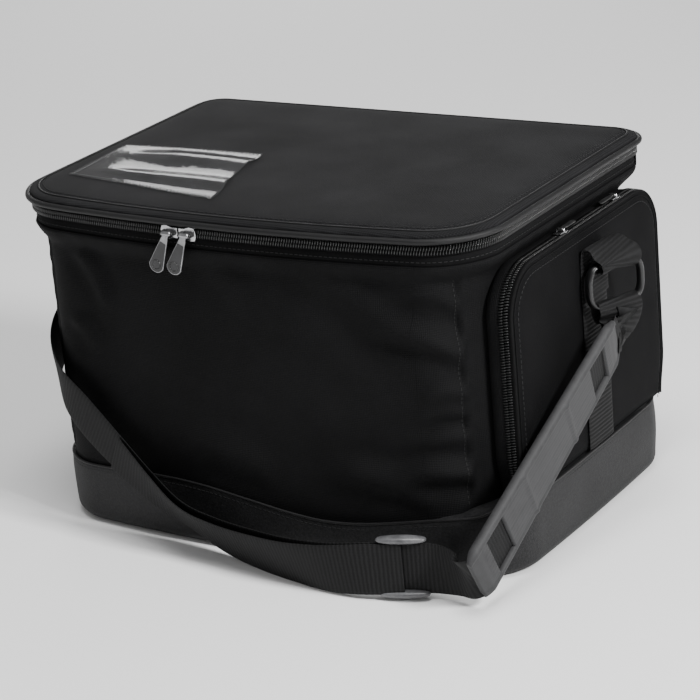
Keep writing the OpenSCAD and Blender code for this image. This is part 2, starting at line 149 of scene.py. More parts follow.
def wall_line(z, inset):
    """The wall's outline at height z: it flares out to the lid's size near its top."""
    t = float(ease((z - FLARE_FROM) / (WALL_TOP - FLARE_FROM)))
    return outline(**BODY, inset=inset) * (1 - t) + outline(**LID, inset=inset + 3.2) * t


def level(loop, z):
    return np.column_stack([loop, np.broadcast_to(np.asarray(z, float), (len(loop),))])


def panel_share(i):
    """How far along its panel a loop point is, from -1 at one corner seam to 1 at the next."""
    return 2 * (((i - HALF_CORNER) % QUARTER) / QUARTER) - 1


# ---- Mesh helpers ----
def new_mesh(name, points, faces, uvs=None, smooth=True):
    """A mesh object from points in millimetres. uvs has a pair for each corner, in metres."""
    mesh = bpy.data.meshes.new(name)
    mesh.from_pydata((np.asarray(points, float) * MM).tolist(), [], faces)
    mesh.update()
    if uvs is not None:
        layer = mesh.uv_layers.new(name="cloth")
        layer.data.foreach_set("uv", np.asarray(uvs, np.float32).ravel())
    bm = bmesh.new()
    bm.from_mesh(mesh)
    bmesh.ops.recalc_face_normals(bm, faces=bm.faces)
    bm.to_mesh(mesh)
    bm.free()
    mesh.polygons.foreach_set("use_smooth", [smooth] * len(mesh.polygons))
    obj = bpy.data.objects.new(name, mesh)
    bpy.context.scene.collection.objects.link(obj)
    return obj


def grid_mesh(name, grid, wrap=True, loop=False, caps=True, uv=None):
    """Rows of points joined into a skin. wrap closes each row and loop joins the last row to the first."""
    grid = np.asarray(grid, float)
    rows, cols = grid.shape[:2]
    if uv is None:
        across = np.linalg.norm(np.roll(grid, -1, 1) - grid, axis=2).max(0)
        down = np.linalg.norm(np.roll(grid, -1, 0) - grid, axis=2)
        down = np.median(down, axis=1)
        u = np.concatenate([[0], np.cumsum(across)]) * MM
        v = np.concatenate([[0], np.cumsum(down)]) * MM
    else:
        u, v = uv
    row_end = rows if loop else rows - 1
    col_end = cols if wrap else cols - 1
    faces, uvs = [], []
    for r in range(row_end):
        q = (r + 1) % rows
        for c in range(col_end):
            d = (c + 1) % cols
            faces.append((r * cols + c, r * cols + d, q * cols + d, q * cols + c))
            uvs += [(u[c], v[r]), (u[c + 1], v[r]), (u[c + 1], v[r + 1]), (u[c], v[r + 1])]
    if caps and not loop:
        for r in (0, rows - 1):
            faces.append(tuple(range(r * cols, r * cols + cols)))
            uvs += [tuple(grid[r, c, :2] * MM) for c in range(cols)]
    return new_mesh(name, grid.reshape(-1, 3), faces, uvs)


def smooth_curve(points, steps=10):
    """Catmull-Rom curve through the points, whatever their number of columns."""
    p = np.asarray(points, float)
    p = np.concatenate([p[:1], p, p[-1:]])
    t = (np.arange(steps) / steps)[:, None]
    parts = []
    for a, b, c, d in zip(p[:-3], p[1:-2], p[2:-1], p[3:]):
        bend = (2 * a - 5 * b + 4 * c - d) * t**2 + (3 * b - a - 3 * c + d) * t**3
        parts.append(0.5 * (2 * b + (c - a) * t + bend))
    return np.concatenate(parts + [p[-1:]])


def even_steps(path, step):
    """The path again, with points an even step apart. Extra columns go along."""
    lengths = np.linalg.norm(np.diff(path[:, :3], axis=0), axis=1)
    s = np.concatenate([[0], np.cumsum(lengths)])
    at = np.linspace(0, s[-1], max(2, int(round(s[-1] / step)) + 1))
    return np.stack([np.interp(at, s, path[:, k]) for k in range(path.shape[1])], 1)


def along(path, closed=False):
    """Unit directions of a path."""
    if closed:
        d = np.roll(path, -1, 0) - np.roll(path, 1, 0)
    else:
        d = np.gradient(path, axis=0)
    return d / np.linalg.norm(d, axis=1)[:, None]


def tube(name, path, radius, side=UP, closed=False, sides=12, flat=1.0):
    """Round cord along a path. side is the direction that its cross-section's flattened height takes."""
    path = np.asarray(path, float)
    t = along(path, closed)
    side = np.broadcast_to(np.asarray(side, float), path.shape)
    across = np.cross(t, side)
    across /= np.linalg.norm(across, axis=1)[:, None]
    high = np.cross(across, t)
    a = 2 * np.pi * np.arange(sides) / sides
    ring = np.cos(a)[None, :, None] * across[:, None] + flat * np.sin(a)[None, :, None] * high[:, None]
    return grid_mesh(name, path[:, None] + radius * ring, loop=closed)


def repeat(name, shape, places, frames):
    """One mesh with a copy of shape at each place, turned to that place's three axes."""
    points, faces = shape
    count = len(points)
    moved = np.einsum("pk,nkj->npj", points, np.asarray(frames)) + np.asarray(places)[:, None]
    all_faces = [tuple(v + k * count for v in f) for k in range(len(places)) for f in faces]
    return new_mesh(name, moved.reshape(-1, 3), all_faces)


def capsule(length, r1, r2, sides=8):
    """Rounded bar along its third axis, r1 and r2 thick, centred."""
    steps = [(-1, 0.0), (-0.96, 0.55), (-0.8, 0.95), (0.8, 0.95), (0.96, 0.55), (1, 0.0)]
    a = 2 * np.pi * np.arange(sides) / sides
    points = [(0, 0, -length / 2)]
    for h, k in steps[1:-1]:
        points += [(r1 * k * math.cos(x), r2 * k * math.sin(x), h * length / 2) for x in a]
    points.append((0, 0, length / 2))
    faces = [(0, 1 + (k + 1) % sides, 1 + k) for k in range(sides)]
    for first in (1, 1 + sides, 1 + 2 * sides):
        for k in range(sides):
            a, b = first + k, first + (k + 1) % sides
            faces.append((a, b, b + sides, a + sides))
    first, top = 1 + 3 * sides, len(points) - 1
    faces += [(first + k, first + (k + 1) % sides, top) for k in range(sides)]
    return np.array(points), faces


def stitches(name, path, out, length=2.6, pitch=STITCH_PITCH, radius=0.34):
    """A row of sewn stitches along a path. out is the cloth's outward direction at each point."""
    both = even_steps(np.column_stack([path, np.broadcast_to(out, np.shape(path))]), pitch)
    t = along(both[:, :3])
    out = both[:, 3:] - np.einsum("ij,ij->i", both[:, 3:], t)[:, None] * t
    out /= np.linalg.norm(out, axis=1)[:, None]
    frames = np.stack([np.cross(out, t), out, t], 1)
    return repeat(name, capsule(length, radius, radius * 0.8, 6), both[:, :3], frames)


def teeth(name, path, out, reach, shift):
    """A row of coil teeth along a path. reach is the vector that each tooth spans, over the gap."""
    both = even_steps(np.column_stack([path, out]), TOOTH_PITCH / 2)[shift::2]
    t = along(both[:, :3])
    reach = np.asarray(reach, float)
    length = np.linalg.norm(reach)
    slant = unit(reach)[None] + 0.16 * t
    slant /= np.linalg.norm(slant, axis=1)[:, None]
    out = both[:, 3:] - np.einsum("ij,ij->i", both[:, 3:], slant)[:, None] * slant
    out /= np.linalg.norm(out, axis=1)[:, None]
    frames = np.stack([np.cross(out, slant), out, slant], 1)
    return repeat(name, capsule(length, 0.66, 1.3), both[:, :3], frames)


def webbing(name, places, widths, half=WEB_HALF, thick=WEB_THICK, step=1.6, rib=0.06, lift=0.0):
    """Woven strap along the given points. widths are the directions of its width there."""
    route = smooth_curve(np.column_stack([places, widths]), 14)
    route = even_steps(route, step)
    centre = route[:, :3]
    t = along(centre)
    w = route[:, 3:] - np.einsum("ij,ij->i", route[:, 3:], t)[:, None] * t
    w /= np.linalg.norm(w, axis=1)[:, None]
    n = np.cross(t, w)
    centre = centre + np.asarray(lift).reshape(-1, 1) * n if np.ndim(lift) else centre + lift * n
    u = np.sin(np.linspace(-np.pi / 2, np.pi / 2, 15))
    edge = np.sqrt(np.clip(1 - u**6, 0.04, 1)) * thick / 2
    around = np.concatenate([u, u[::-1]])
    rise = np.concatenate([edge, -edge[::-1]])
    s = np.arange(len(centre)) * step
    ribs = 1 + rib * np.sin(2 * np.pi * s / RIB_PITCH)
    grid = (
        centre[:, None]
        + half * around[None, :, None] * w[:, None]
        + (rise[None] * ribs[:, None])[:, :, None] * n[:, None]
    )
    flat = np.concatenate([around, around[:1]]) * half * MM
    return grid_mesh(name, grid, uv=(flat, np.append(s, s[-1] + step) * MM))


def bevel(obj, width, segments=3):
    mod = obj.modifiers.new("edges", "BEVEL")
    mod.width = width * MM
    mod.segments = segments
    mod.limit_method = "ANGLE"
    mod.angle_limit = math.radians(35)
    return obj


def prism(name, shape, low, high, origin=(0, 0, 0), axes=np.eye(3)):
    """Flat outline, drawn in the first two axes, made solid between low and high on the third."""
    shape = np.asarray(shape, float)
    n = len(shape)
    local = np.concatenate([np.column_stack([shape, np.full(n, h)]) for h in (low, high)])
    faces = [tuple(range(n)), tuple(range(n, 2 * n))]
    faces += [(k, (k + 1) % n, n + (k + 1) % n, n + k) for k in range(n)]
    return new_mesh(name, local @ np.asarray(axes, float) + np.asarray(origin, float), faces, smooth=False)


def join(name, objects):
    """Several meshes as one piece, with their modifiers applied."""
    bpy.context.view_layer.update()
    graph = bpy.context.evaluated_depsgraph_get()
    bm = bmesh.new()
    for obj in objects:
        done = obj.evaluated_get(graph)
        bm.from_mesh(done.to_mesh())
        done.to_mesh_clear()
    mesh = bpy.data.meshes.new(name)
    bm.to_mesh(mesh)
    bm.free()
    for obj in objects:
        bpy.data.objects.remove(obj)
    made = bpy.data.objects.new(name, mesh)
    bpy.context.scene.collection.objects.link(made)
    return made


# ---- Materials ----
def shader(name, **sockets):
    """A material with its Principled shader's own sockets set, and its node tree."""
    mat = bpy.data.materials.new(name)
    mat.use_nodes = True
    nodes = mat.node_tree.nodes
    bsdf = nodes["Principled BSDF"]
    for key, value in sockets.items():
        bsdf.inputs[key.replace("_", " ")].default_value = value
    return mat, mat.node_tree, bsdf


def node(tree, kind, **values):
    made = tree.nodes.new(kind)
    for key, value in values.items():
        if key in made.inputs:
            made.inputs[key].default_value = value
        else:
            setattr(made, key, value)
    return made


def math_node(tree, operation, a, b=None):
    made = node(tree, "ShaderNodeMath", operation=operation)
    for k, value in enumerate((a, b)):
        if value is None:
            continue
        if isinstance(value, (int, float)):
            made.inputs[k].default_value = value
        else:
            tree.links.new(value, made.inputs[k])
    return made.outputs[0]


def mix_of(tree, a, share_a, b, share_b):
    """Sum of two values, each times its share."""
    parts = [math_node(tree, "MULTIPLY", value, share) for value, share in ((a, share_a), (b, share_b))]
    return math_node(tree, "ADD", *parts)


def waves(tree, value, period):
    """Sine wave of a length in metres."""
    return math_node(tree, "SINE", math_node(tree, "MULTIPLY", value, 2 * math.pi / period))


def tint(tree, bsdf, factor, low, high, spread=(0.3, 0.7)):
    """Base colour between low and high, by a height or noise value."""
    ramp = node(tree, "ShaderNodeValToRGB")
    ramp.color_ramp.elements[0].position = spread[0]
    ramp.color_ramp.elements[1].position = spread[1]
    ramp.color_ramp.elements[0].color = (*low, 1)
    ramp.color_ramp.elements[1].color = (*high, 1)
    tree.links.new(factor, ramp.inputs[0])
    tree.links.new(ramp.outputs[0], bsdf.inputs["Base Color"])


def bump(tree, bsdf, height, strength, distance):
    made = node(tree, "ShaderNodeBump", Strength=strength, Distance=distance)
    tree.links.new(height, made.inputs["Height"])
    tree.links.new(made.outputs[0], bsdf.inputs["Normal"])


def place_by(tree, kind):
    return node(tree, "ShaderNodeTexCoord").outputs[kind]


def noise_at(tree, where, scale, detail=3.0, rough=0.6):
    made = node(tree, "ShaderNodeTexNoise", Scale=scale, Detail=detail, Roughness=rough)
    tree.links.new(where, made.inputs["Vector"])
    return made.outputs[0]


def threads(tree, slope, period, where):
    """Waves of threads across the cloth, which run at a slant: slope 1 one way and slope -1 the other."""
    split = node(tree, "ShaderNodeSeparateXYZ")
    tree.links.new(where, split.inputs[0])
    turned = math_node(tree, "MULTIPLY", split.outputs[1], slope)
    return waves(tree, math_node(tree, "ADD", split.outputs[0], turned), period)


def cloth(name, low, high, thread=0.0009, strength=0.35, rough=0.82, sheen=0.05, shine=0.2):
    """Woven cloth: crossing threads, uneven dye and a little fuzz."""
    mat, tree, bsdf = shader(name, Roughness=rough, Sheen_Weight=sheen, Sheen_Roughness=0.45)
    bsdf.inputs["Specular IOR Level"].default_value = shine
    where = place_by(tree, "UV")
    one = threads(tree, 1.0, thread, where)
    two = threads(tree, -1.0, thread, where)
    half_weave = math_node(tree, "MULTIPLY", math_node(tree, "MULTIPLY", one, two), 0.5)
    weave = math_node(tree, "ADD", half_weave, 0.5)
    fuzz = noise_at(tree, place_by(tree, "Object"), 900.0, 4.0, 0.7)
    patch = noise_at(tree, place_by(tree, "Object"), 14.0, 3.0, 0.55)
    height = mix_of(tree, weave, 0.6, fuzz, 0.5)
    shade = mix_of(tree, height, 0.6, patch, 0.45)
    tint(tree, bsdf, shade, low, high, (0.36, 0.76))
    bump(tree, bsdf, height, strength, 0.0005)
    return mat


def woven_strap(name, low, high, rough=0.75, strength=0.5):
    """Webbing: ribs across the strap, fine threads along it."""
    mat, tree, bsdf = shader(name, Roughness=rough)
    bsdf.inputs["Specular IOR Level"].default_value = 0.25
    where = place_by(tree, "UV")
    split = node(tree, "ShaderNodeSeparateXYZ")
    tree.links.new(where, split.inputs[0])
    wobble = noise_at(tree, where, 260.0, 2.0, 0.5)
    v = math_node(tree, "ADD", split.outputs[1], math_node(tree, "MULTIPLY", wobble, 0.0012))
    ribs = waves(tree, v, RIB_PITCH * MM)
    fine = waves(tree, split.outputs[0], 0.0012)
    height = math_node(tree, "ADD", mix_of(tree, ribs, 0.4, fine, 0.16), 0.5)
    fuzz = noise_at(tree, place_by(tree, "Object"), 1100.0, 3.0, 0.7)
    height = mix_of(tree, height, 0.7, fuzz, 0.35)
    tint(tree, bsdf, height, low, high, (0.25, 0.85))
    bump(tree, bsdf, height, strength, 0.0006)
    return mat


def speckled(name, low, high, rough=0.62):
    """Rubberised cloth with a pebbled grain and pale flecks."""
    mat, tree, bsdf = shader(name, Roughness=rough)
    bsdf.inputs["Specular IOR Level"].default_value = 0.3
    where = place_by(tree, "Object")
    cell = node(tree, "ShaderNodeTexVoronoi", Scale=850.0)
    tree.links.new(where, cell.inputs["Vector"])
    fleck = noise_at(tree, where, 620.0, 5.0, 0.75)
    patch = noise_at(tree, where, 11.0, 3.0, 0.5)
    height = mix_of(tree, cell.outputs[0], 0.6, fleck, 0.6)
    shade = mix_of(tree, fleck, 0.8, patch, 0.25)
    tint(tree, bsdf, shade, low, high, (0.42, 0.66))
    bump(tree, bsdf, height, 0.5, 0.0005)
    return mat


def moulded(name, low, high, rough, grain=1400.0, strength=0.15, metallic=0.0, coat=0.0):
    """Plastic, rubber or metal with fine grain and slight scuffs."""
    mat, tree, bsdf = shader(name, Metallic=metallic, Coat_Weight=coat)
    where = place_by(tree, "Object")
    scuff = noise_at(tree, where, 90.0, 5.0, 0.7)
    fine = noise_at(tree, where, grain, 2.0, 0.6)
    tint(tree, bsdf, scuff, low, high, (0.35, 0.7))
    worn = node(tree, "ShaderNodeMapRange")
    worn.inputs["To Min"].default_value = rough - 0.08
    worn.inputs["To Max"].default_value = rough + 0.12
    tree.links.new(scuff, worn.inputs["Value"])
    tree.links.new(worn.outputs[0], bsdf.inputs["Roughness"])
    bump(tree, bsdf, fine, strength, 0.0002)
    return mat


def clear_film(name):
    """Soft clear vinyl, its colour lighter in patches of painted milky reflection."""
    mat, tree, bsdf = shader(name, Roughness=0.1, Alpha=0.3)
    bsdf.inputs["Specular IOR Level"].default_value = 0.5
    bsdf.inputs["Coat Weight"].default_value = 0.15
    bsdf.inputs["Coat Roughness"].default_value = 0.05
    where = place_by(tree, "Object")
    # Painted reflection: milky patches in the base colour stand in for the sky mirrored in the vinyl.
    painted_reflection = noise_at(tree, where, 30.0, 4.0, 0.6)
    tint(tree, bsdf, painted_reflection, (0.02, 0.02, 0.021), (0.07, 0.07, 0.073), (0.35, 0.7))
    ripple = noise_at(tree, where, 120.0, 2.0, 0.5)
    bump(tree, bsdf, ripple, 0.25, 0.0008)
    return mat


NEAR_BLACK = (0.0003, 0.0003, 0.0004)
CLOTH = cloth("body cloth", NEAR_BLACK, (0.0065, 0.0065, 0.007), 0.0028, 0.9, 0.75, 0.0, 0.13)
LID_CLOTH = cloth("lid cloth", (0.0016, 0.0016, 0.0018), (0.017, 0.017, 0.0182), 0.0036, 0.7, 0.9, 0.02, 0.12)
# The pocket is the body's fabric, made a little darker: painted shade that evens out the key lamp's stronger
# light on the pocket.
SHADED_POCKET_CLOTH = cloth("pocket cloth painted darker", NEAR_BLACK, (0.0055, 0.0055, 0.006), 0.002, 0.6, 0.85, 0.0, 0.1)
LINING = cloth("lining cloth", (0.006, 0.006, 0.0065), (0.022, 0.022, 0.024), 0.0014, 0.25)
TAPE = cloth("zip tape", (0.001, 0.001, 0.001), (0.006, 0.006, 0.0065), 0.001, 0.3, 0.85, 0.0, 0.12)
BOOT_CLOTH = speckled("boot cloth", (0.0016, 0.0016, 0.0018), (0.017, 0.017, 0.018))
WEB = woven_strap("webbing", (0.0005, 0.0005, 0.0006), (0.0085, 0.0085, 0.009))
PIPING = cloth("piping", (0.002, 0.002, 0.0022), (0.009, 0.009, 0.0095), 0.001, 0.3, 0.5, 0.02, 0.3)
COIL = moulded("zip coil", (0.002, 0.002, 0.002), (0.008, 0.008, 0.008), 0.3, coat=0.2)
THREAD = moulded("thread", (0.002, 0.002, 0.0022), (0.009, 0.009, 0.0095), 0.75)
PALE_THREAD = moulded("window thread", (0.04, 0.04, 0.042), (0.12, 0.12, 0.125), 0.7)
RIM_METAL = moulded("pull rim", (0.2, 0.2, 0.205), (0.42, 0.42, 0.43), 0.3, metallic=1.0)
NICKEL = moulded("slider metal", (0.5, 0.5, 0.51), (0.78, 0.78, 0.79), 0.22, metallic=1.0)
ENAMEL = moulded("pull enamel", (0.006, 0.006, 0.007), (0.022, 0.022, 0.024), 0.3, coat=0.3)
BLACK_METAL = moulded("dark slider", (0.02, 0.02, 0.02), (0.07, 0.07, 0.07), 0.28, metallic=0.6)
RING_PLASTIC = moulded("ring plastic", (0.002, 0.002, 0.0022), (0.006, 0.006, 0.0065), 0.36, coat=0.1)
BUCKLE_PLASTIC = moulded("buckle plastic", (0.05, 0.05, 0.053), (0.13, 0.13, 0.135), 0.34, coat=0.2)
RUBBER = moulded("pad rubber", (0.014, 0.014, 0.015), (0.03, 0.03, 0.0315), 0.65, 900.0, 0.4)
FILM = clear_film("window vinyl")


def settle(obj, body, slot, mat, *nodes):
    """Gives a piece its material, its body and the CAD nodes that it stands for."""
    obj.data.materials.clear()
    obj.data.materials.append(mat)
    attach(obj, body)
    if nodes:
        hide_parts(*nodes)
    return obj


# ---- Wall of the bag ----
# Soft folds of the panels: ends along the panel and up it, width and height
FRONT_FOLDS = [
    ((183, 172), (118, 198), 8, 7.0),
    ((184, 80), (124, 78), 8, 6.5),
    ((184, 118), (146, 112), 6, -4.0),
    ((183, 206), (146, 224), 6, 3.6),
    ((184, 142), (150, 140), 7, 3.0),
    ((62, 240), (133, 192), 13, 4.0),
    ((-140, 228), (-116, 186), 8, 3.6),
    ((-150, 172), (-132, 146), 8, 3.0),
    ((151, 62), (72, 78), 10, 4.0),
    ((-20, 238), (10, 200), 12, 2.4),
    ((20, 72), (-60, 86), 14, 3.0),
    ((-172, 120), (-150, 84), 10, 3.0),
]
SIDE_FOLDS = [
    ((-90, 110), (20, 96), 16, 1.6),
    ((70, 200), (110, 150), 13, 1.4),
    ((-70, 222), (-96, 150), 12, 1.5),
]


def fold_height(a, z, folds):
    """Height of the folds at places a along a panel and z up it."""
    total = np.zeros_like(a)
    for (a0, z0), (a1, z1), width, height in folds:
        d = np.array([a1 - a0, z1 - z0], float)
        t = np.clip(((a - a0) * d[0] + (z - z0) * d[1]) / (d @ d), -0.15, 1.15)
        arch = 6 * np.sin(np.pi * np.clip(t, 0, 1))
        off = np.hypot(a - a0 - t * d[0], z - arch - z0 - t * d[1])
        fade = ease((t + 0.15) / 0.3) * ease((1.15 - t) / 0.5)
        ridge = np.exp(-((off / width) ** 2))
        valley = np.exp(-(((off - 1.7 * width) / width) ** 2))
        total += height * fade * (ridge - 0.45 * valley)
    return total


def cloth_noise(points, scale, seed):
    """Smooth noise at points in millimetres, with features about scale wide."""
    return np.array([noise.noise(Vector(p / scale) + Vector((seed, 0, 0))) for p in points])


def wall_puff(loop, z):
    """How far the padded wall stands out at height z."""
    i = np.arange(LOOP)
    s = panel_share(i)
    rise = np.clip((z - boot_top(loop)) / (WALL_TOP - 50), 0, 1)
    swell = np.clip(np.sin(np.pi * rise), 0, 1) ** 0.7 * (1 - s**4)
    panel = ((i - HALF_CORNER) // QUARTER) % 4
    puff = np.choose(panel, [0.6, 2.2, 2.0, 3.2]) * swell
    zs = np.full(LOOP, float(z))
    fade = ease((z - boot_top(loop) - 2) / 14) * ease((WALL_TOP - 4 - z) / 14)
    puff = puff + np.where(panel == 3, fold_height(loop[:, 0], zs, FRONT_FOLDS), 0) * fade
    puff = puff + np.where(panel == 2, fold_height(loop[:, 1], zs, SIDE_FOLDS), 0) * fade
    puff = puff + np.where(panel == 1, fold_height(loop[:, 0], zs, SIDE_FOLDS), 0) * fade
    points = level(loop, z)
    puff = puff + 1.5 * cloth_noise(points, 62, 3) * swell + 0.5 * cloth_noise(points, 21, 9) * swell
    run = (1 - np.abs(s)) * 150
    pucker = cloth_noise(points * [0.2, 0.2, 1], 8, 5) * np.exp(-run / 14)
    gather = cloth_noise(points * [1, 1, 0.25], 11, 7) * np.exp(-(WALL_TOP - z) / 13)
    welt = 1.3 * np.exp(-((run / 2.2) ** 2)) - 1.1 * np.exp(-(((run - 6) / 4) ** 2))
    gather = np.where(panel == 1, 0, gather)
    return puff + (0.9 * pucker + welt) * fade + 1.3 * gather * ease((WALL_TOP - z) / 3)


def wall_levels():
    fine = np.arange(28, WALL_TOP - 12, 3.0)
    return list(fine) + list(np.arange(fine[-1] + 1.5, WALL_TOP + 0.1, 1.5))


def make_wall():
    """The padded wall: a closed band with a puffed outside, a rolled top edge and a plain inside."""
    rows = []
    for z in wall_levels():
        loop = wall_line(z, 0)
        rows.append(level(loop + outward(loop) * wall_puff(loop, z)[:, None], z))
    edge = wall_line(WALL_TOP, 0)
    rolled = [(0.9, 0.5), (1.4, 1.4), (1.0, 2.2), (0.3, 3.0)]
    rows += [level(edge - outward(edge) * inset, WALL_TOP + rise) for rise, inset in rolled]
    rows += [level(wall_line(z, WALL_THICK - 4), z) for z in (WALL_TOP - 1, 236, 228)]
    rows += [level(wall_line(z, WALL_THICK), z) for z in (216, 150, 90, 28)]
    wall = grid_mesh("bag_wall", np.array(rows), loop=True)
    settle(
        wall, "case", "body_fabric", CLOTH, "panel_front", "panel_right", "panel_back", "panel_left",
        "foam_front", "foam_right", "foam_back", "foam_left",
    )


def corner_stitches():
    """Topstitching beside the two front corner seams."""
    right, left = HALF_CORNER - 2, 3 * QUARTER + HALF_CORNER + 2
    for name, i in (("stitch_corner_right", right), ("stitch_corner_left", left)):
        path, out = [], []
        for z in np.arange(58, WALL_TOP - 10, 3.0):
            loop = wall_line(z, 0)
            o = outward(loop)
            path.append([*(loop[i] + o[i] * (wall_puff(loop, z)[i] + 0.15)), z])
            out.append([*o[i], 0])
        settle(stitches(name, np.array(path), np.array(out)), "case", "body_fabric", THREAD)


def make_lining():
    """The lining and its padded floor: an open tray inside the wall."""
    rows = [level(wall_line(z, WALL_THICK + 0.3), z) for z in (10, 40, 120, 216)]
    rows += [level(wall_line(z, WALL_THICK - 3.4), z) for z in (228, 236, WALL_TOP - 1.5)]
    rows += [level(wall_line(z, WALL_THICK - 1.2), z) for z in (WALL_TOP - 1.0, 236, 228)]
    for z in (216, 190, 160, 130, 100, 70, 40, 22, 17):
        loop = wall_line(z, WALL_THICK + 2.4)
        soft = 1.2 * cloth_noise(level(loop, z), 40, 21)
        rows.append(level(loop - outward(loop) * soft[:, None], z))
    floor = wall_line(FLOOR_TOP, WALL_THICK + 2.4)
    for k, drop in ((0.985, 1.6), (0.96, 0.7), (0.9, 0.2), (0.7, 0), (0.4, 0), (0.12, 0)):
        rows.append(level(floor * k, FLOOR_TOP + drop))
    lining = grid_mesh("bag_lining", np.array(rows))
    settle(lining, "case", "lining", LINING, "lining", "base_foam", "base_board")


def make_boot():
    """The rubberised boot: a rounded tray whose right side widens into the pocket's shelf."""
    rows = [level(boot_line(BOOT_ROUND) * k, 0.4) for k in (0.2, 0.5, 0.8, 0.97)]
    for a in np.radians(np.arange(0, 91, 11.25)):
        rows.append(level(boot_line(BOOT_ROUND * (1 - math.sin(a))), 0.3 + BOOT_ROUND * (1 - math.cos(a))))
    top = boot_top(boot_line(0))
    for share in np.linspace(0.04, 0.96, 13):
        loop = boot_line(0)
        z = 10 + (top - 10) * share
        points = level(loop, z)
        soft = 1.0 * math.sin(math.pi * share) + 1.1 * cloth_noise(points, 46, 31) * math.sin(math.pi * share)
        rows.append(level(loop + outward(loop) * np.asarray(soft)[:, None], z))
    for inset, rise in ((0.1, -0.6), (0.5, 0.0), (1.2, 0.5), (1.9, 0.3)):
        rows.append(level(boot_line(inset), top + rise))
    body, shelf = wall_line(60, 2.5), boot_line(2)
    for t in (0.3, 0.7, 1.0):
        rows.append(level(shelf * (1 - t) + body * t, top + 0.3 + 0.5 * t))
    rows += [level(wall_line(60, 3.5), z) for z in (28, 20, 8)]
    rows += [level(wall_line(60, 3.5) * k, 7.5) for k in (0.9, 0.5, 0.1)]
    boot = grid_mesh("boot_shell", np.array(rows))
    walls = ("boot_front", "boot_right", "boot_back", "boot_left")
    settle(boot, "case", "boot_fabric", BOOT_CLOTH, "boot_base", *walls)
    loop = boot_line(0.4)
    wave = 0.35 * cloth_noise(level(loop, 52), 30, 41)
    path = level(loop, top + 0.6 + wave)
    rim = tube("boot_rim", path, 1.0, closed=True)
    settle(rim, "case", "piping", PIPING, "boot_piping")
    closed = np.concatenate([path, path[:1]])
    out = outward(loop)
    out = np.concatenate([out, out[:1]])
    seam = closed + np.column_stack([out * 0.55, np.full(LOOP + 1, -4.2)])
    settle(stitches("stitch_boot", seam, level(out, 0)), "case", "piping", THREAD)


# ---- Main zip ----
def zip_run(inset):
    """Open path of the main zip, from the back left corner round the front to the back right."""
    loop = outline(**LID, inset=inset)
    pick = np.arange(ZIP_FIRST, ZIP_LAST + 1) % LOOP
    return loop[pick], outward(loop)[pick]


def zip_tape(name, low, high, body, slot, first_inset, last_inset, *nodes):
    """Flat tape between two heights, behind a row of teeth."""
    rows = []
    middle = ((low + high) / 2, (first_inset + last_inset) / 2)
    for z, inset in ((low, first_inset), middle, (high, last_inset)):
        rows.append(level(zip_run(inset)[0], z))
    for z, inset in ((high, last_inset + 1), (low, first_inset + 1)):
        rows.append(level(zip_run(inset)[0], z))
    grid = np.swapaxes(np.array(rows), 0, 1)
    settle(grid_mesh(name, grid), body, slot, TAPE, *nodes)


def make_main_zip():
    zip_tape("tape_case", 238, 254.6, "case", "zip_tape", 5.2, 4.4, "body_zip_tape")
    zip_tape("tape_lid", 257.2, 264.5, "lid", "zip_tape", 4.4, 4.2, "lid_zip_tape")
    run, out = zip_run(3.0)
    flat_out = level(out, 0)
    low = teeth("teeth_case", level(run, SEAM_Z - 1.6), flat_out, (0, 0, 3.8), 0)
    settle(low, "case", "zip_coil", COIL, "body_zip_coil")
    high = teeth("teeth_lid", level(run, SEAM_Z + 1.6), flat_out, (0, 0, 3.8), 1)
    settle(high, "lid", "zip_coil", COIL, "lid_zip_coil")
    sewn, out = zip_run(4.5)
    flat_out = level(out, 0)
    settle(stitches("stitch_tape_case", level(sewn, 246.5), flat_out), "case", "zip_tape", THREAD)
    core = zip_run(3.4)[0]
    settle(tube("cord_case", level(core, SEAM_Z - 3.7), 0.7, sides=8), "case", "zip_coil", TAPE)
    settle(tube("cord_lid", level(core, SEAM_Z + 3.7), 0.7, sides=8), "lid", "zip_coil", TAPE)


def make_hinge():
    """The cloth hinge along the back, between the case and the lid."""
    pick = np.arange(QUARTER + HALF_CORNER - 2, ZIP_FIRST + 3)
    rows = []
    for side in (0, 1):
        heights = np.arange(235, 263.1, 1.5)
        for z in heights if side == 0 else heights[::-1]:
            loop = wall_line(min(z, WALL_TOP), -0.9)
            out = outward(loop)[pick]
            ripple = 0.5 * cloth_noise(level(loop[pick], z), 24, 51)
            ripple += 0.6 * math.exp(-(((z - SEAM_Z) / 3) ** 2))
            rows.append(level(loop[pick] + out * (ripple - 1.2 * side)[:, None], z))
    hinge = grid_mesh("hinge_cloth", np.swapaxes(np.array(rows), 0, 1))
    hinge.data.materials.append(TAPE)
    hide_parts("hinge_tape", "lid_hinge_tape")
    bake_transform(hinge)


# ---- Lid ----
# Profile of the lid's rounded edge, with the groove of its seam: height and inset
LID_EDGE = [
    (262.2, 4.2), (263.2, 2.6), (264.6, 1.6), (266.0, 1.4), (267.0, 2.4), (267.9, 4.6), (268.3, 7.4),
    (268.1, 8.6), (268.2, 9.6), (268.9, 11), (269.5, 13.5), (269.9, 17), (270.2, 22), (LID_TOP, LID_FLAT),
]


def lid_dome(points):
    """Soft rise and slow waves of the lid's top."""
    x, y = points[:, 0], points[:, 1]
    dome = 2.2 * np.clip(1 - (x / 200) ** 2, 0, 1) * np.clip(1 - ((y + 8) / 150) ** 2, 0, 1)
    flat = np.column_stack([x, y, np.zeros(len(x))])
    wave = 1.1 * cloth_noise(flat, 95, 61) + 0.35 * cloth_noise(flat, 34, 63)
    inside = np.clip(1 - (np.hypot(x / 200, (y + 8) / 150)) ** 4, 0, 1)
    return dome + wave * inside


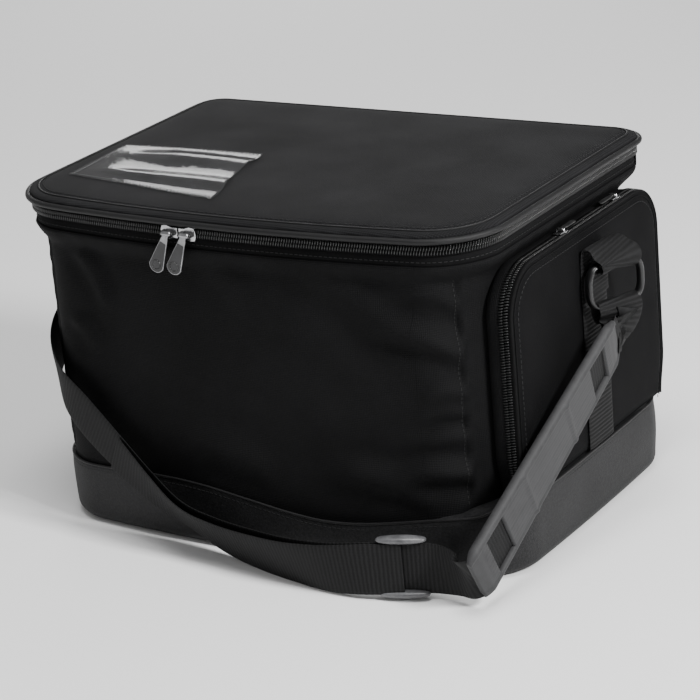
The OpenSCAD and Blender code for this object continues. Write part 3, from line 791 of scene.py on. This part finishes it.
def make_lid():
    """The padded lid, with a piped edge, a corded seam and a row of stitches."""
    rows = [level(outline(**LID, inset=12), 261.8)]
    for z, inset in LID_EDGE:
        loop = outline(**LID, inset=inset)
        rise = lid_dome(loop) * ease((inset - 6) / 12)
        rows.append(level(loop, z + rise))
    inner = outline(**LID, inset=LID_FLAT)
    centre = np.array([0.0, -10.0])
    for k in np.linspace(1, 0.015, 34)[1:]:
        loop = centre + (inner - centre) * k
        rows.append(level(loop, LID_TOP + lid_dome(loop)))
    lid = grid_mesh("lid_cover", np.array(rows))
    spread_uv(lid, 0, 1)
    settle(lid, "lid", "lid_fabric", LID_CLOTH, "lid_panel", "lid_foam")
    edge = outline(**LID, inset=-0.1)
    wave = 0.3 * cloth_noise(level(edge, 0), 40, 71)
    roll = tube("lid_edge_roll", level(edge, 263.3 + wave), 2.3, closed=True, sides=14)
    settle(roll, "lid", "piping", PIPING, "lid_piping")
    seam = outline(**LID, inset=8.7)
    cord = tube("lid_seam_cord", level(seam, 268.5 + lid_dome(seam) * 0.3), 0.8, closed=True, sides=10)
    settle(cord, "lid", "piping", PIPING)
    row = outline(**LID, inset=12.2)
    top = np.column_stack([row, 269.5 + lid_dome(row) * ease(6.2 / 12)])
    top = np.concatenate([top, top[:1]])
    settle(stitches("stitch_lid", top, UP), "lid", "lid_fabric", THREAD)
    make_lid_lining()


def spread_uv(obj, first, second):
    """Takes the cloth's coordinates from two of the axes, so that the weave runs straight over the panel."""
    layer = obj.data.uv_layers["cloth"]
    for corner in obj.data.loops:
        co = obj.data.vertices[corner.vertex_index].co
        layer.data[corner.index].uv = (co[first], co[second])


def make_lid_lining():
    """The padded underside of the lid."""
    edge = [
        (262.6, 12), (262.4, 6.4), (261.6, 5.6), (260.4, 5.8),
        (259.4, 8), (258.9, 13), (258.6, 22), (258.4, 34),
    ]
    rows = [level(outline(**LID, inset=inset), z) for z, inset in edge]
    inner = outline(**LID, inset=34)
    for k in (0.85, 0.7, 0.55, 0.4, 0.25, 0.1):
        rows.append(level(inner * k, 258.4 + 0.2 * k))
    lining = grid_mesh("lid_underside", np.array(rows))
    settle(lining, "lid", "lining", LINING, "lid_lining")


# Corners of the label window: front left, front right, back right and back left
WINDOW = np.array([(-176, -104), (-26, -130), (-52, -18), (-180, -20)], float)


def window_point(u, v):
    """Point of the label window's film, u from its left edge and v from its front edge."""
    a, b, c, d = WINDOW
    p = a * (1 - u) * (1 - v) + b * u * (1 - v) + c * u * v + d * (1 - u) * v
    p = p + np.array([2.2 * math.sin(9 * v) * u**3, 0])
    z = LID_TOP + lid_dome(p[None])[0] + 0.5
    open_side = ease(np.array(u * 1.6))
    ridge = 3.4 * math.exp(-(((v - 0.72) / 0.13) ** 2))
    ridge += 2.6 * math.exp(-(((v - 0.22 - 0.06 * u) / 0.1) ** 2))
    sag = 0.9 * math.sin(7 * u + 5 * v) * u * math.sin(math.pi * v)
    return [p[0], p[1], z + float(open_side) * ridge * min(1, 6 * v, 6 * (1 - v)) + 0.5 + sag]


def make_window():
    """The clear film, and the stitches along its three sewn sides."""
    us, vs = np.linspace(0, 1, 61), np.linspace(0, 1, 41)
    top = np.array([[window_point(u, v) for u in us] for v in vs])
    low = top - np.array([0, 0, 0.45])
    n, m = len(vs), len(us)
    points = np.concatenate([top.reshape(-1, 3), low.reshape(-1, 3)])
    faces = []
    for r in range(n - 1):
        for c in range(m - 1):
            a = r * m + c
            faces.append((a, a + 1, a + m + 1, a + m))
            faces.append((a + n * m, a + m + n * m, a + m + 1 + n * m, a + 1 + n * m))
    rim = list(range(m)) + [r * m + m - 1 for r in range(1, n)]
    rim += [(n - 1) * m + c for c in range(m - 2, -1, -1)] + [r * m for r in range(n - 2, 0, -1)]
    faces += [(a, b, b + n * m, a + n * m) for a, b in zip(rim, rim[1:] + rim[:1])]
    film = new_mesh("window_film", points, faces)
    settle(film, "lid", "clear_window", FILM, "label_window")
    edge = [window_point(u, 0.035) for u in np.linspace(0.97, 0.03, 40)]
    edge += [window_point(0.03, v) for v in np.linspace(0.035, 0.965, 30)]
    edge += [window_point(u, 0.965) for u in np.linspace(0.03, 0.97, 40)]
    sewn = np.array(edge) + [0, 0, 0.15]
    settle(stitches("stitch_window", sewn, UP, 2.4, 3.6, 0.3), "lid", "clear_window", PALE_THREAD)


# ---- Sliders and pulls of the main zip ----
ARC_R = LID["right"] ** 2 / (2 * LID["bow"])
FRONT_Y = -(LID["front"] + LID["bow"])
PIN_OUT = 4.6
TAB_LONG = 34
TAB_ROUND = 6.75
PULL_LEAN = math.radians(25)


def on_front(x):
    """Origin and axes at x on the zip's front run: along the zip, into the case, and up."""
    a = math.asin(x / ARC_R)
    origin = np.array([ARC_R * math.sin(a), FRONT_Y + ARC_R * (1 - math.cos(a)), SEAM_Z])
    axes = np.array([[math.cos(a), math.sin(a), 0], [-math.sin(a), math.cos(a), 0], [0, 0, 1]])
    return origin, axes


def slider_shape(length, wide, narrow):
    """Shield outline of a slider, wide at one end."""
    half = length / 2
    side = [
        (half, wide * 0.35),
        (half * 0.85, wide * 0.9),
        (half * 0.3, wide),
        (-half * 0.4, narrow * 0.94),
        (-half, narrow),
    ]
    return [(u, -v) for u, v in side[::-1]] + side


def make_slider(name, x, body, cad, facing):
    """Main slider: two plates with flanges between them, and a dark loop that holds its pull."""
    origin, axes = on_front(x)
    turned = axes[[0, 2, 1]] * np.array([[facing], [1], [1]])
    parts = [
        bevel(prism(name + "_plate", slider_shape(15, 5.6, 4.2), -1.0, 0.6, origin, turned), 0.5),
        bevel(prism(name + "_back", slider_shape(14, 5.2, 3.9), 3.6, 4.6, origin, turned), 0.4),
    ]
    loops = []
    for side in (-1, 1):
        outer = [(-6.5, side * 3.9), (-2, side * 3.9), (2.6, side * 5.3), (6, side * 5.3)]
        flange = outer + [(u, v - side * 0.8) for u, v in outer[::-1]]
        parts.append(bevel(prism(name + "_flange", flange, -0.4, 1.5, origin, turned), 0.3))
        ear = [(-1.9, -0.6), (-1.6, -2.8), (-1.0, -5.0), (0, -5.9), (1.0, -5.0), (1.6, -2.8), (1.9, -0.6)]
        at = side * 4.9
        loops.append(bevel(prism(name + "_ear", ear, at - 0.75, at + 0.75, origin, axes[[2, 1, 0]]), 0.35))
    span = np.linspace(-5.2, 5.2, 12)
    pin = origin + span[:, None] * axes[0] - PIN_OUT * axes[1]
    loops.append(tube(name + "_pin", pin, 0.95, axes[2]))
    settle(join(name, parts), body, "zip_metal", NICKEL, cad)
    settle(join(name + "_loop", loops), body, "zip_metal", BLACK_METAL)


def pull_outline(grow=0.0):
    """Tab with a half-round end, narrow at its top: points across and up."""
    r = TAB_ROUND + grow
    end = TAB_ROUND - TAB_LONG
    a = np.radians(np.arange(-8, -173, -12))
    side = [(3.0 + grow, -4.0 + grow), (3.4 + grow, -8), (4.6 + grow, -15)]
    arc = [(r * math.cos(x), end + r * math.sin(x)) for x in a]
    left = [(-u, v) for u, v in side[::-1]]
    return np.array(side + arc + left)


def make_pull(name, x, body, cad):
    """Hanging pull: a bright rim round an enamelled face with a small ring near its end."""
    origin, axes = on_front(x)
    across = math.cos(PULL_LEAN) * axes[0] - math.sin(PULL_LEAN) * axes[2]
    up = math.sin(PULL_LEAN) * axes[0] + math.cos(PULL_LEAN) * axes[2]
    frame_axes = np.array([across, up, -axes[1]])
    at = origin - PIN_OUT * axes[1]
    rim = prism(name + "_rim", pull_outline(), -0.75, 0.75, at, frame_axes)
    span = np.linspace(-3.9, 3.9, 8)
    barrel = tube(name + "_barrel", at + span[:, None] * axes[0], 1.85, axes[2], sides=16)
    neck = [(-2.3, 0), (2.3, 0), (2.7, -5), (-2.7, -5)]
    parts = [bevel(rim, 0.55), barrel, bevel(prism(name + "_neck", neck, -0.8, 0.8, at, frame_axes), 0.4)]
    settle(join(name, parts), body, "zip_metal", RIM_METAL, cad)
    face = pull_outline(-0.75)
    face = face[face[:, 1] < -6]
    inlay = bevel(prism(name + "_face", face, -1.05, 1.05, at, frame_axes), 0.2, 2)
    settle(inlay, body, "pull_enamel", ENAMEL)
    a = np.radians(np.arange(0, 360, 15))
    disc = np.stack([3.6 * np.cos(a), -27.4 + 3.6 * np.sin(a)], 1)
    ring = at + (disc @ frame_axes[:2]) + 1.1 * frame_axes[2]
    ring = tube(name + "_ring", ring, 0.5, frame_axes[2], closed=True, sides=8)
    settle(ring, body, "pull_enamel", BLACK_METAL)


# ---- Side pocket ----
def pocket_path(inset, foot=POCKET["foot"]):
    """Open U-shaped line of the pocket's edge, as y and z: up the front, along the top, down the back."""
    r = POCKET["corner"] - inset
    y0, y1, top = POCKET["front"] + inset, POCKET["back"] - inset, POCKET["top"] - inset
    rise = np.linspace(foot, top - r, 44)
    a = np.radians(np.linspace(180, 90, 22))[1:]
    b = np.radians(np.linspace(90, 0, 22))[:-1]
    up = np.stack([np.full(44, y0), rise], 1)
    first = np.stack([y0 + r + r * np.cos(a), top - r + r * np.sin(a)], 1)
    flat = np.stack([np.linspace(y0 + r, y1 - r, 50)[1:-1], np.full(48, top)], 1)
    last = np.stack([y1 - r + r * np.cos(b), top - r + r * np.sin(b)], 1)
    down = up[::-1] * [0, 1] + [y1, 0]
    path = np.concatenate([up, first, flat, last, down])
    path[:, 0] -= np.sign(path[:, 0]) * 7 * ease((92 - path[:, 1]) / 36)
    return path


def pocket_out(path):
    """Outward directions along the pocket's line, as y and z."""
    t = along(path)
    return np.stack([-t[:, 1], t[:, 0]], 1)


def pocket_level(x, inset, foot, soft):
    """The pocket's line at x, moved outward by soft."""
    path = pocket_path(inset, foot)
    path = path + pocket_out(path) * soft[:, None]
    return np.column_stack([np.full(len(path), float(x)), path])


def make_pocket_side():
    """The pocket's gusset, with the fixed half of its zip, on the case."""
    path = pocket_path(0, POCKET_BASE)
    ripple = 0.7 * cloth_noise(np.column_stack([np.zeros(len(path)), path]), 26, 81)
    # Across the gusset: x, inset, and how much of the ripple it has
    sections = [
        (192.5, 1.6, 0), (196, 0.9, 1), (199.5, 0.5, 1), (202, 1.0, 0.5), (203.6, 2.2, 0),
        (205.4, 2.4, 0), (205.4, 3.4, 0), (199, 3.4, 0), (192.5, 3.4, 0),
    ]
    rows = [pocket_level(x, inset, POCKET_BASE, ripple * k) for x, inset, k in sections]
    side = grid_mesh("pocket_side", np.swapaxes(np.array(rows), 0, 1))
    settle(side, "case", "body_fabric", CLOTH, "pocket_gusset", "pocket_floor")
    run = pocket_path(0.9)
    out = np.column_stack([np.zeros(len(run)), pocket_out(run)])
    place = np.column_stack([np.full(len(run), ZIP_X - 1.7), run])
    fixed = teeth("teeth_pocket_fixed", place, out, (4.2, 0, 0), 0)
    settle(fixed, "case", "zip_coil", COIL, "pocket_coil_fixed")
    moving = teeth("teeth_pocket_flap", place + [3.9, 0, 0], out, (4.2, 0, 0), 1)
    settle(moving, "pocket_flap", "zip_coil", COIL, "pocket_coil_flap")


def closed_pocket(x, inset):
    """Closed D-shaped loop of the flap: the U and its bottom edge."""
    u = pocket_path(inset, POCKET["foot"] + inset * 0.5)
    low = np.stack([np.linspace(u[-1, 0], u[0, 0], 42)[1:-1], np.full(40, u[-1, 1])], 1)
    loop = np.concatenate([u, low])
    return np.column_stack([np.full(len(loop), float(x)), loop])


def flap_puff(points):
    """How far the padded face of the pocket stands out."""
    y, z = points[:, 1], points[:, 2]
    share = np.clip(1 - ((y - 9) / 117) ** 4, 0, 1) * np.clip(1 - ((z - 145) / 88) ** 4, 0, 1)
    flat = np.column_stack([np.zeros(len(y)), y, z])
    return share * (0.8 + 1.2 * cloth_noise(flat, 60, 91) + 0.4 * cloth_noise(flat, 22, 93))


FLAP_X = 214.8
FLAP_FLAT = 24
# Profile of the flap's rounded edge, with the groove of its seam: x and inset
FLAP_EDGE = [
    (207.0, 3.0), (207.2, 2.4), (208.6, 1.8), (209.6, 0.9), (211.2, 0.3), (212.4, 0.8), (213.0, 2.2),
    (212.9, 4.0), (213.2, 5.2), (213.9, 7.5), (214.4, 11), (214.7, 16), (FLAP_X, FLAP_FLAT),
]


def make_flap():
    """The pocket's padded front, which folds down."""
    rows = []
    for x, inset in FLAP_EDGE:
        points = closed_pocket(x, inset)
        points[:, 0] += flap_puff(points) * float(ease((inset - 4) / 12))
        rows.append(points)
    inner = closed_pocket(FLAP_X, FLAP_FLAT)
    centre = np.array([FLAP_X, 9.0, 138.0])
    for k in np.linspace(1, 0.02, 20)[1:]:
        points = centre + (inner - centre) * k
        points[:, 0] += flap_puff(points)
        rows.append(points)
    flap = grid_mesh("pocket_front", np.array(rows))
    spread_uv(flap, 1, 2)
    # The flap takes the darker copy of the body cloth: painted shade.
    settle(flap, "pocket_flap", "body_fabric", SHADED_POCKET_CLOTH, "pocket_panel", "pocket_border")
    cords = (("pocket_rim_cord", 212.6, 0.9, 1.1), ("pocket_seam_cord", 213.3, 4.6, 0.5))
    for name, x, inset, radius in cords:
        path = pocket_path(inset)
        cord = tube(name, np.column_stack([np.full(len(path), x), path]), radius, (1, 0, 0))
        settle(cord, "pocket_flap", "piping", TAPE)
    row = pocket_path(9)
    line = np.column_stack([np.full(len(row), 214.35), row])
    line[:, 0] += flap_puff(line) * float(ease(5 / 12))
    settle(stitches("stitch_pocket", line, (1, 0, 0)), "pocket_flap", "body_fabric", THREAD)


def make_pocket_slider(name, y, body, cad):
    """Small slider on the pocket's straight top, with the pin of its pull."""
    origin = np.array([ZIP_X + 0.05, y, POCKET["top"] + 0.1])
    axes = np.array([[0, 1.0, 0], [1.0, 0, 0], [0, 0, 1.0]])
    parts = [bevel(prism(name + "_plate", slider_shape(12, 4.2, 3.2), 0.5, 1.7, origin, axes), 0.4)]
    ear = [(-1.1, 1.2), (-0.9, 3.0), (0, 4.3), (0.9, 3.0), (1.1, 1.2)]
    ear_axes = axes[[0, 2, 1]]
    for at in (-2.9, 2.9):
        parts.append(bevel(prism(name + "_ear", ear, at - 0.45, at + 0.45, origin, ear_axes), 0.2))
    span = np.linspace(-3, 3, 6)
    parts.append(tube(name + "_pin", origin + [0, 0, 3.2] + span[:, None] * np.array([1.0, 0, 0]), 0.75))
    settle(join(name, parts), body, "zip_metal", NICKEL, cad)


def make_pocket_pull(name, y, way, body, cad):
    """Small blade that lies along the pocket's top, forward or back of its slider."""
    at = np.array([ZIP_X + 0.05, y, POCKET["top"] + 3.3])
    a = np.radians(np.arange(-75, 76, 15))
    tip = [(2.2 * math.sin(-x), 20 + 2.2 * math.cos(x)) for x in a[::-1]]
    shape = np.array([(-1.6, 0.4), (-1.7, 6), (-2.2, 8)] + tip + [(2.2, 8), (1.7, 6), (1.6, 0.4)])
    blade = bevel(prism(name + "_blade", shape, -0.6, 0.6, at, [[1, 0, 0], [0, way, 0], [0, 0, 1]]), 0.3)
    span = np.linspace(-2.1, 2.1, 6)
    barrel = tube(name + "_barrel", at + span[:, None] * np.array([1.0, 0, 0]), 1.4)
    settle(join(name, [blade, barrel]), body, "pull_enamel", BLACK_METAL, cad)


# ---- Rings ----
RING_AT = np.array([234.0, 6, 188])
RING_TURN = 65
LEFT_RING_AT = np.array([-203.6, 4, 188])
RING_HALF = (24.6, 17.8)


def ring_axis(turn):
    a = math.radians(turn)
    return np.array([math.cos(a), math.sin(a), 0])


def make_ring(name, at, turn, body, cad):
    """Oval moulded ring, of the same thickness all round."""
    across = ring_axis(turn)
    through = np.array([-across[1], across[0], 0])
    a = np.linspace(0, 2 * np.pi, 73)[:-1]
    u = np.sign(np.cos(a)) * np.abs(np.cos(a)) ** 0.62 * RING_HALF[0]
    v = np.sign(np.sin(a)) * np.abs(np.sin(a)) ** 0.62 * RING_HALF[1]
    path = at + u[:, None] * across + v[:, None] * UP
    ring = tube(name, path, 2.3, through, closed=True, sides=16, flat=1.6)
    settle(ring, body, "ring_plastic", RING_PLASTIC, cad)


def make_right_anchor():
    """Webbing up the pocket's face, out over the ring's top bar and back under it to the face."""
    y = np.array([0, 1.0, 0])
    bar = ring_axis(RING_TURN)
    mid = y * 0.5 + bar * 0.5
    places = [
        (216.2, 6, 59), (216.4, 6, 100), (216.5, 6, 150), (216.5, 6, 192), (217, 6, 208), (219.5, 6, 216.5),
        (225.5, 6, 217.5), (232.5, 6, 213.5), (238.5, 6, 209.5), (239.7, 6, 205), (236.8, 6, 200.6),
        (231, 6, 199.6), (224, 6, 199.2), (219.2, 6, 196), (218.4, 6, 188), (218.3, 6, 176),
    ]
    widths = [y] * 5 + [y * 0.85 + bar * 0.15, mid, bar, bar, bar, bar, mid, y * 0.8 + bar * 0.2, y, y, y]
    web = webbing("anchor_right", places, widths, rib=0.3, step=0.8)
    settle(web, "pocket_flap", "webbing", WEB, "anchor_web_right", "ring_loop_right")


def make_left_anchor():
    """Webbing up the left wall and through the left ring's top bar."""
    places = [
        (-198.2, 6, 54), (-199.0, 6, 80), (-199.9, 6, 130), (-199.6, 6, 175), (-199.2, 6, 200),
        (-199.6, 5, 209), (-203.6, 4, 212.4), (-208.2, 4, 208), (-208.6, 4, 203), (-205.6, 4, 199.8),
        (-201.6, 5, 197.6), (-201.2, 6, 186),
    ]
    widths = [(0, 1, 0)] * len(places)
    web = webbing("anchor_left", places, widths, rib=0.3, step=0.8)
    settle(web, "case", "webbing", WEB, "anchor_web_left", "ring_loop_left")


# ---- Strap ----
# The strap's route from the left ring to the buckle, and the directions of its width there
STRAP = [
    (-203.5, 4, 158), (-204.5, -1, 149), (-205, -38, 144), (-205, -68, 144), (-202.5, -97, 140),
    (-191.5, -126.5, 130), (-172, -148, 114), (-147, -157, 95), (-115, -163, 71), (-82, -168, 50),
    (-48, -172, 34), (-14, -176, 23.5), (22, -183, 20.2), (58, -191, 20.4), (92, -196, 21.6),
    (122, -194, 24), (148, -185, 24.6),
]
STRAP_WIDTHS = [
    (0, -1, 0), (0, -0.9, 0.4), (0, -0.3, 0.95), (0, -0.2, 0.98), (0, -0.4, 0.9),
    (0.2, -0.5, 0.83), (0.3, -0.35, 0.85), (0.45, -0.25, 0.83), (0.45, -0.3, 0.84), (0.35, -0.45, 0.8),
    (0.3, -0.65, 0.7), (0.25, -0.55, 0.8), (0.2, -0.45, 0.87), (0.1, -0.35, 0.93), (0, -0.15, 1),
    (0, 0, 1), (0, 0, 1),
]
LEFT_LOOP = [
    (-201.2, 4, 138), (-200.8, 4, 150), (-199.4, 4, 163), (-199.6, 4, 172), (-203.6, 4, 175.6),
    (-208.2, 4, 172), (-208, 4, 163),
]
TAIL_FIRST = 8
PAD_LOW = np.array([212.0, -186, 30.5])
PAD_HIGH = np.array([235.0, -2, 146])
PAD_SIDE_LOW = np.array([0.02, -0.56, 0.83])
PAD_SIDE_HIGH = np.array([0.2, -0.52, 0.78])
PAD_DIR = unit(PAD_HIGH - PAD_LOW)
BUCKLE_AT = np.array([148.0, -185, 24.6])


def make_strap():
    """The long part of the strap, its doubled tail, and the bridge from the buckle into the pad."""
    left = LEFT_LOOP + STRAP[1:]
    widths = [(0, -1, 0)] * len(LEFT_LOOP) + STRAP_WIDTHS[1:]
    settle(webbing("strap_main", left, widths), "case", "webbing", WEB, "strap_long", "strap_end_left")
    front = STRAP[TAIL_FIRST:]
    route = even_steps(smooth_curve(np.array(front, float), 14), 1.6)
    s = np.linspace(0, 1, len(route))
    lift = 2.6 + 3.2 * np.sin(np.pi * np.clip(s * 1.05, 0, 1)) ** 1.2 + 1.2 * ease((s - 0.92) / 0.08)
    tail = webbing("strap_tail_layer", front, STRAP_WIDTHS[TAIL_FIRST:], lift=lift)
    settle(tail, "case", "webbing", WEB, "strap_tail")
    places = [
        (146, -185.8, 24.6), (158, -181.5, 24.6), (172, -178, 24.4), (188, -180, 25), (200, -186, 26.4),
        (207, -188, 29), (211.4, -186.5, 31), PAD_LOW + 4 * PAD_DIR, PAD_LOW + 12 * PAD_DIR,
    ]
    across = [(0, 0, 1), (0, 0, 1), (0, -0.05, 1), (0, -0.18, 0.98), (0, -0.35, 0.93)] + [PAD_SIDE_LOW] * 4
    bridge = webbing("strap_bridge", places, across)
    bridge.data.materials.append(WEB)
    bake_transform(bridge)


def make_strap_end():
    """The short part of the strap: through the pad, up to the ring, over its bar and sewn back on itself."""
    bar = ring_axis(RING_TURN)
    side = PAD_SIDE_HIGH
    middle = (PAD_LOW + PAD_HIGH) / 2
    places = [
        PAD_LOW + 2 * PAD_DIR, middle, PAD_HIGH, (235.8, 3.5, 152), (236.5, 6, 160), (238.8, 5.2, 168),
        (236.4, 6.2, 174.6), (232.2, 7.4, 174.8), (229.4, 8.4, 170), (231.4, 7.8, 163), (233.6, 6, 155),
        (232.6, 2.5, 147.5),
    ]
    widths = [PAD_SIDE_LOW, unit(PAD_SIDE_LOW + side), side]
    widths += [unit(side * 0.6 - bar * 0.5 + UP * 0.1), unit(UP * 0.15 - bar)] + [-bar] * 5
    widths += [unit(side * 0.3 - bar * 0.8), unit(side * 0.7 - bar * 0.4)]
    web = webbing("strap_end_web", places, widths, rib=0.3, step=0.8)
    settle(web, "strap_end", "webbing", WEB, "strap_drop", "strap_end_right")


def make_buckle():
    """Sliding buckle: two boat-shaped sides joined by three bars under the strap."""
    t = unit(np.array([0.94, 0.338, 0.006]))
    w = unit(UP - (UP @ t) * t)
    n = np.cross(t, w)
    parts = []
    a = 2 * np.pi * np.arange(18) / 18
    for side, reach in ((1, 2.6), (-1, 0.2)):
        rows = []
        for u in np.linspace(-1, 1, 33):
            fat = math.sqrt(max(0.0, 1 - u * u))
            high = 0.8 + 2.3 * fat
            deep = 1.2 + 4.4 * fat
            centre = BUCKLE_AT + 18.5 * u * t + side * (WEB_HALF + reach) * w + 1.2 * n
            rows.append(centre + high * np.sin(a)[:, None] * w + deep * np.cos(a)[:, None] * n)
        parts.append(grid_mesh("buckle_side", np.array(rows)))
    for shift in (-12, 0, 12):
        span = np.linspace(-(WEB_HALF + 1.5), WEB_HALF + 2.5, 14)
        path = BUCKLE_AT + shift * t + span[:, None] * w - 2.7 * n
        parts.append(tube("buckle_bar", path, 1.1, n, flat=1.3))
    settle(join("buckle_frame", parts), "buckle", "buckle_plastic", BUCKLE_PLASTIC, "strap_buckle")


# ---- Shoulder pad ----
# Its windows and its cross bars, as shares of its length from its low end
WINDOWS = [(0.095, 0.2), (0.805, 0.9)]
CROSS_BARS = (0.35, 0.64)


def make_pad():
    """Moulded pad: a ribbed slab with raised edges and cross bars, and two windows over the webbing."""
    rows, cols = 150, 34
    centre = (PAD_LOW + PAD_HIGH) / 2 - 2 * PAD_DIR
    f, g = np.linspace(0, 1, rows + 1), np.linspace(-1, 1, cols + 1)
    top, low = [], []
    for share in f:
        side = PAD_SIDE_LOW * (1 - share) + PAD_SIDE_HIGH * share
        side = unit(side - (side @ PAD_DIR) * PAD_DIR)
        n = np.cross(PAD_DIR, side)
        ends = min(share, 1 - share) * PAD_LONG
        taper = 1 - 0.16 * (1 - min(1, ends / 12)) ** 2
        thick = PAD_THICK / 2 * (0.45 + 0.55 * min(1, ends / 9))
        spine = centre + (share - 0.5) * PAD_LONG * PAD_DIR
        half = PAD_HALF * taper
        edge = np.clip((1 - np.abs(g)) * PAD_HALF / 3, 0, 1)
        ribs = 0.5 * np.abs(np.sin(g * np.pi * 6.5)) * (ends > 14)
        raised = np.where(np.abs(g) > 0.8, 0.9, ribs)
        for bar in CROSS_BARS:
            raised = raised + 1.0 * math.exp(-(((share - bar) * PAD_LONG / 2.2) ** 4))
        height = thick * (0.55 + 0.45 * np.sqrt(edge)) + (raised - 0.7) * (edge > 0.5)
        back = -thick * (0.55 + 0.45 * np.sqrt(edge))
        top.append(spine + half * g[:, None] * side + height[:, None] * n)
        low.append(spine + half * g[:, None] * side + back[:, None] * n)
    solid = np.ones((rows, cols), bool)
    for a, b in WINDOWS:
        solid[int(a * rows) : int(b * rows), 4:-4] = False
    m = cols + 1
    count = (rows + 1) * m
    faces = []
    for r in range(rows):
        for c in range(cols):
            if not solid[r, c]:
                continue
            a = r * m + c
            quad = [a, a + 1, a + m + 1, a + m]
            faces.append(tuple(quad))
            faces.append(tuple(v + count for v in quad[::-1]))
            beside = ((r - 1, c), (r, c + 1), (r + 1, c), (r, c - 1))
            for (rr, cc), p, q in zip(beside, quad, quad[1:] + quad[:1]):
                if not (0 <= rr < rows and 0 <= cc < cols) or not solid[rr, cc]:
                    faces.append((p, q, q + count, p + count))
    pad = new_mesh("pad_slab", np.array([top, low]).reshape(-1, 3), faces)
    settle(pad, "pad", "pad_rubber", RUBBER, "shoulder_pad")


# ---- Stage, light and camera ----
def make_stage():
    """White floor and sky, with three soft lamps."""
    bpy.ops.mesh.primitive_plane_add(size=30, location=(0, 0, -0.0005))
    floor = bpy.context.object
    floor.name = "studio_floor"
    paper = shader("floor paper", Roughness=0.9, Base_Color=(0.97, 0.97, 0.97, 1))[0]
    floor.data.materials.append(paper)
    world = bpy.data.worlds.new("studio")
    world.use_nodes = True
    sky = world.node_tree.nodes["Background"]
    sky.inputs["Color"].default_value = (1, 1, 1, 1)
    sky.inputs["Strength"].default_value = 0.4
    bpy.context.scene.world = world
    lamp("key", (2.0, -0.45, 1.5), (0.05, 0, 0.12), 80, 0.5)
    lamp("top", (0.3, -0.5, 2.5), (0, 0, 0.1), 34, 0.9)
    lamp("back", (-1.3, 2.0, 0.95), (-0.05, 0, 0.25), 9, 0.7)


def lamp(name, place, target, power, size):
    """Square area lamp that points at target, all in metres and watts."""
    light = bpy.data.lights.new(name, "AREA")
    light.energy = power
    light.size = size
    obj = bpy.data.objects.new(name, light)
    obj.location = place
    obj.rotation_euler = (Vector(target) - Vector(place)).to_track_quat("-Z", "Y").to_euler()
    bpy.context.scene.collection.objects.link(obj)


# The photo's camera: direction and roll in degrees, lens in millimetres, distance in metres
CAM_AZIMUTH = 32.44
CAM_ELEVATION = 19.76
CAM_ROLL = -5.01
CAM_LENS = 143.6
CAM_DISTANCE = 2.2137
LOOK_AT = np.array([-2.0, 4.8, 107.9])


def make_camera():
    """A long lens from the front right, a little above, with a slight roll."""
    azimuth, elevation, roll = np.radians([CAM_AZIMUTH, CAM_ELEVATION, CAM_ROLL])
    flat = math.cos(elevation)
    back = np.array([math.sin(azimuth) * flat, -math.cos(azimuth) * flat, math.sin(elevation)])
    right = unit(np.cross(UP, back))
    up = np.cross(back, right)
    turned_right = math.cos(roll) * right + math.sin(roll) * up
    turned_up = -math.sin(roll) * right + math.cos(roll) * up
    at = LOOK_AT * MM + CAM_DISTANCE * back
    cam = bpy.data.cameras.new("camera")
    cam.lens = CAM_LENS
    cam.sensor_width = 36
    cam.clip_end = 50
    obj = bpy.data.objects.new("camera", cam)
    matrix = np.eye(4)
    matrix[:3] = np.column_stack([turned_right, turned_up, back, at])
    bpy.context.scene.collection.objects.link(obj)
    obj.matrix_world = Matrix(matrix.tolist())
    bpy.context.scene.camera = obj


make_wall()
corner_stitches()
make_lining()
make_boot()
make_main_zip()
make_hinge()
make_lid()
make_window()
make_slider("slider_left_metal", SLIDER_X["left"], "slider_left", "main_slider_left", -1)
make_slider("slider_right_metal", SLIDER_X["right"], "slider_right", "main_slider_right", 1)
make_pull("pull_left_tab", SLIDER_X["left"], "pull_left", "main_pull_left")
make_pull("pull_right_tab", SLIDER_X["right"], "pull_right", "main_pull_right")
make_pocket_side()
make_flap()
make_pocket_slider("pocket_runner_front", RUNNER_Y["front"], "pocket_slider_f", "pocket_slider_front")
make_pocket_slider("pocket_runner_back", RUNNER_Y["back"], "pocket_slider_b", "pocket_slider_back")
make_pocket_pull("pocket_tab_front", RUNNER_Y["front"], 1, "pocket_pull_f", "pocket_pull_front")
make_pocket_pull("pocket_tab_back", RUNNER_Y["back"], -1, "pocket_pull_b", "pocket_pull_back")
make_ring("ring_right_oval", RING_AT, RING_TURN, "ring_r", "ring_right")
make_ring("ring_left_oval", LEFT_RING_AT, 90, "ring_l", "ring_left")
make_right_anchor()
make_left_anchor()
make_strap()
make_strap_end()
make_buckle()
make_pad()
make_stage()
make_camera()
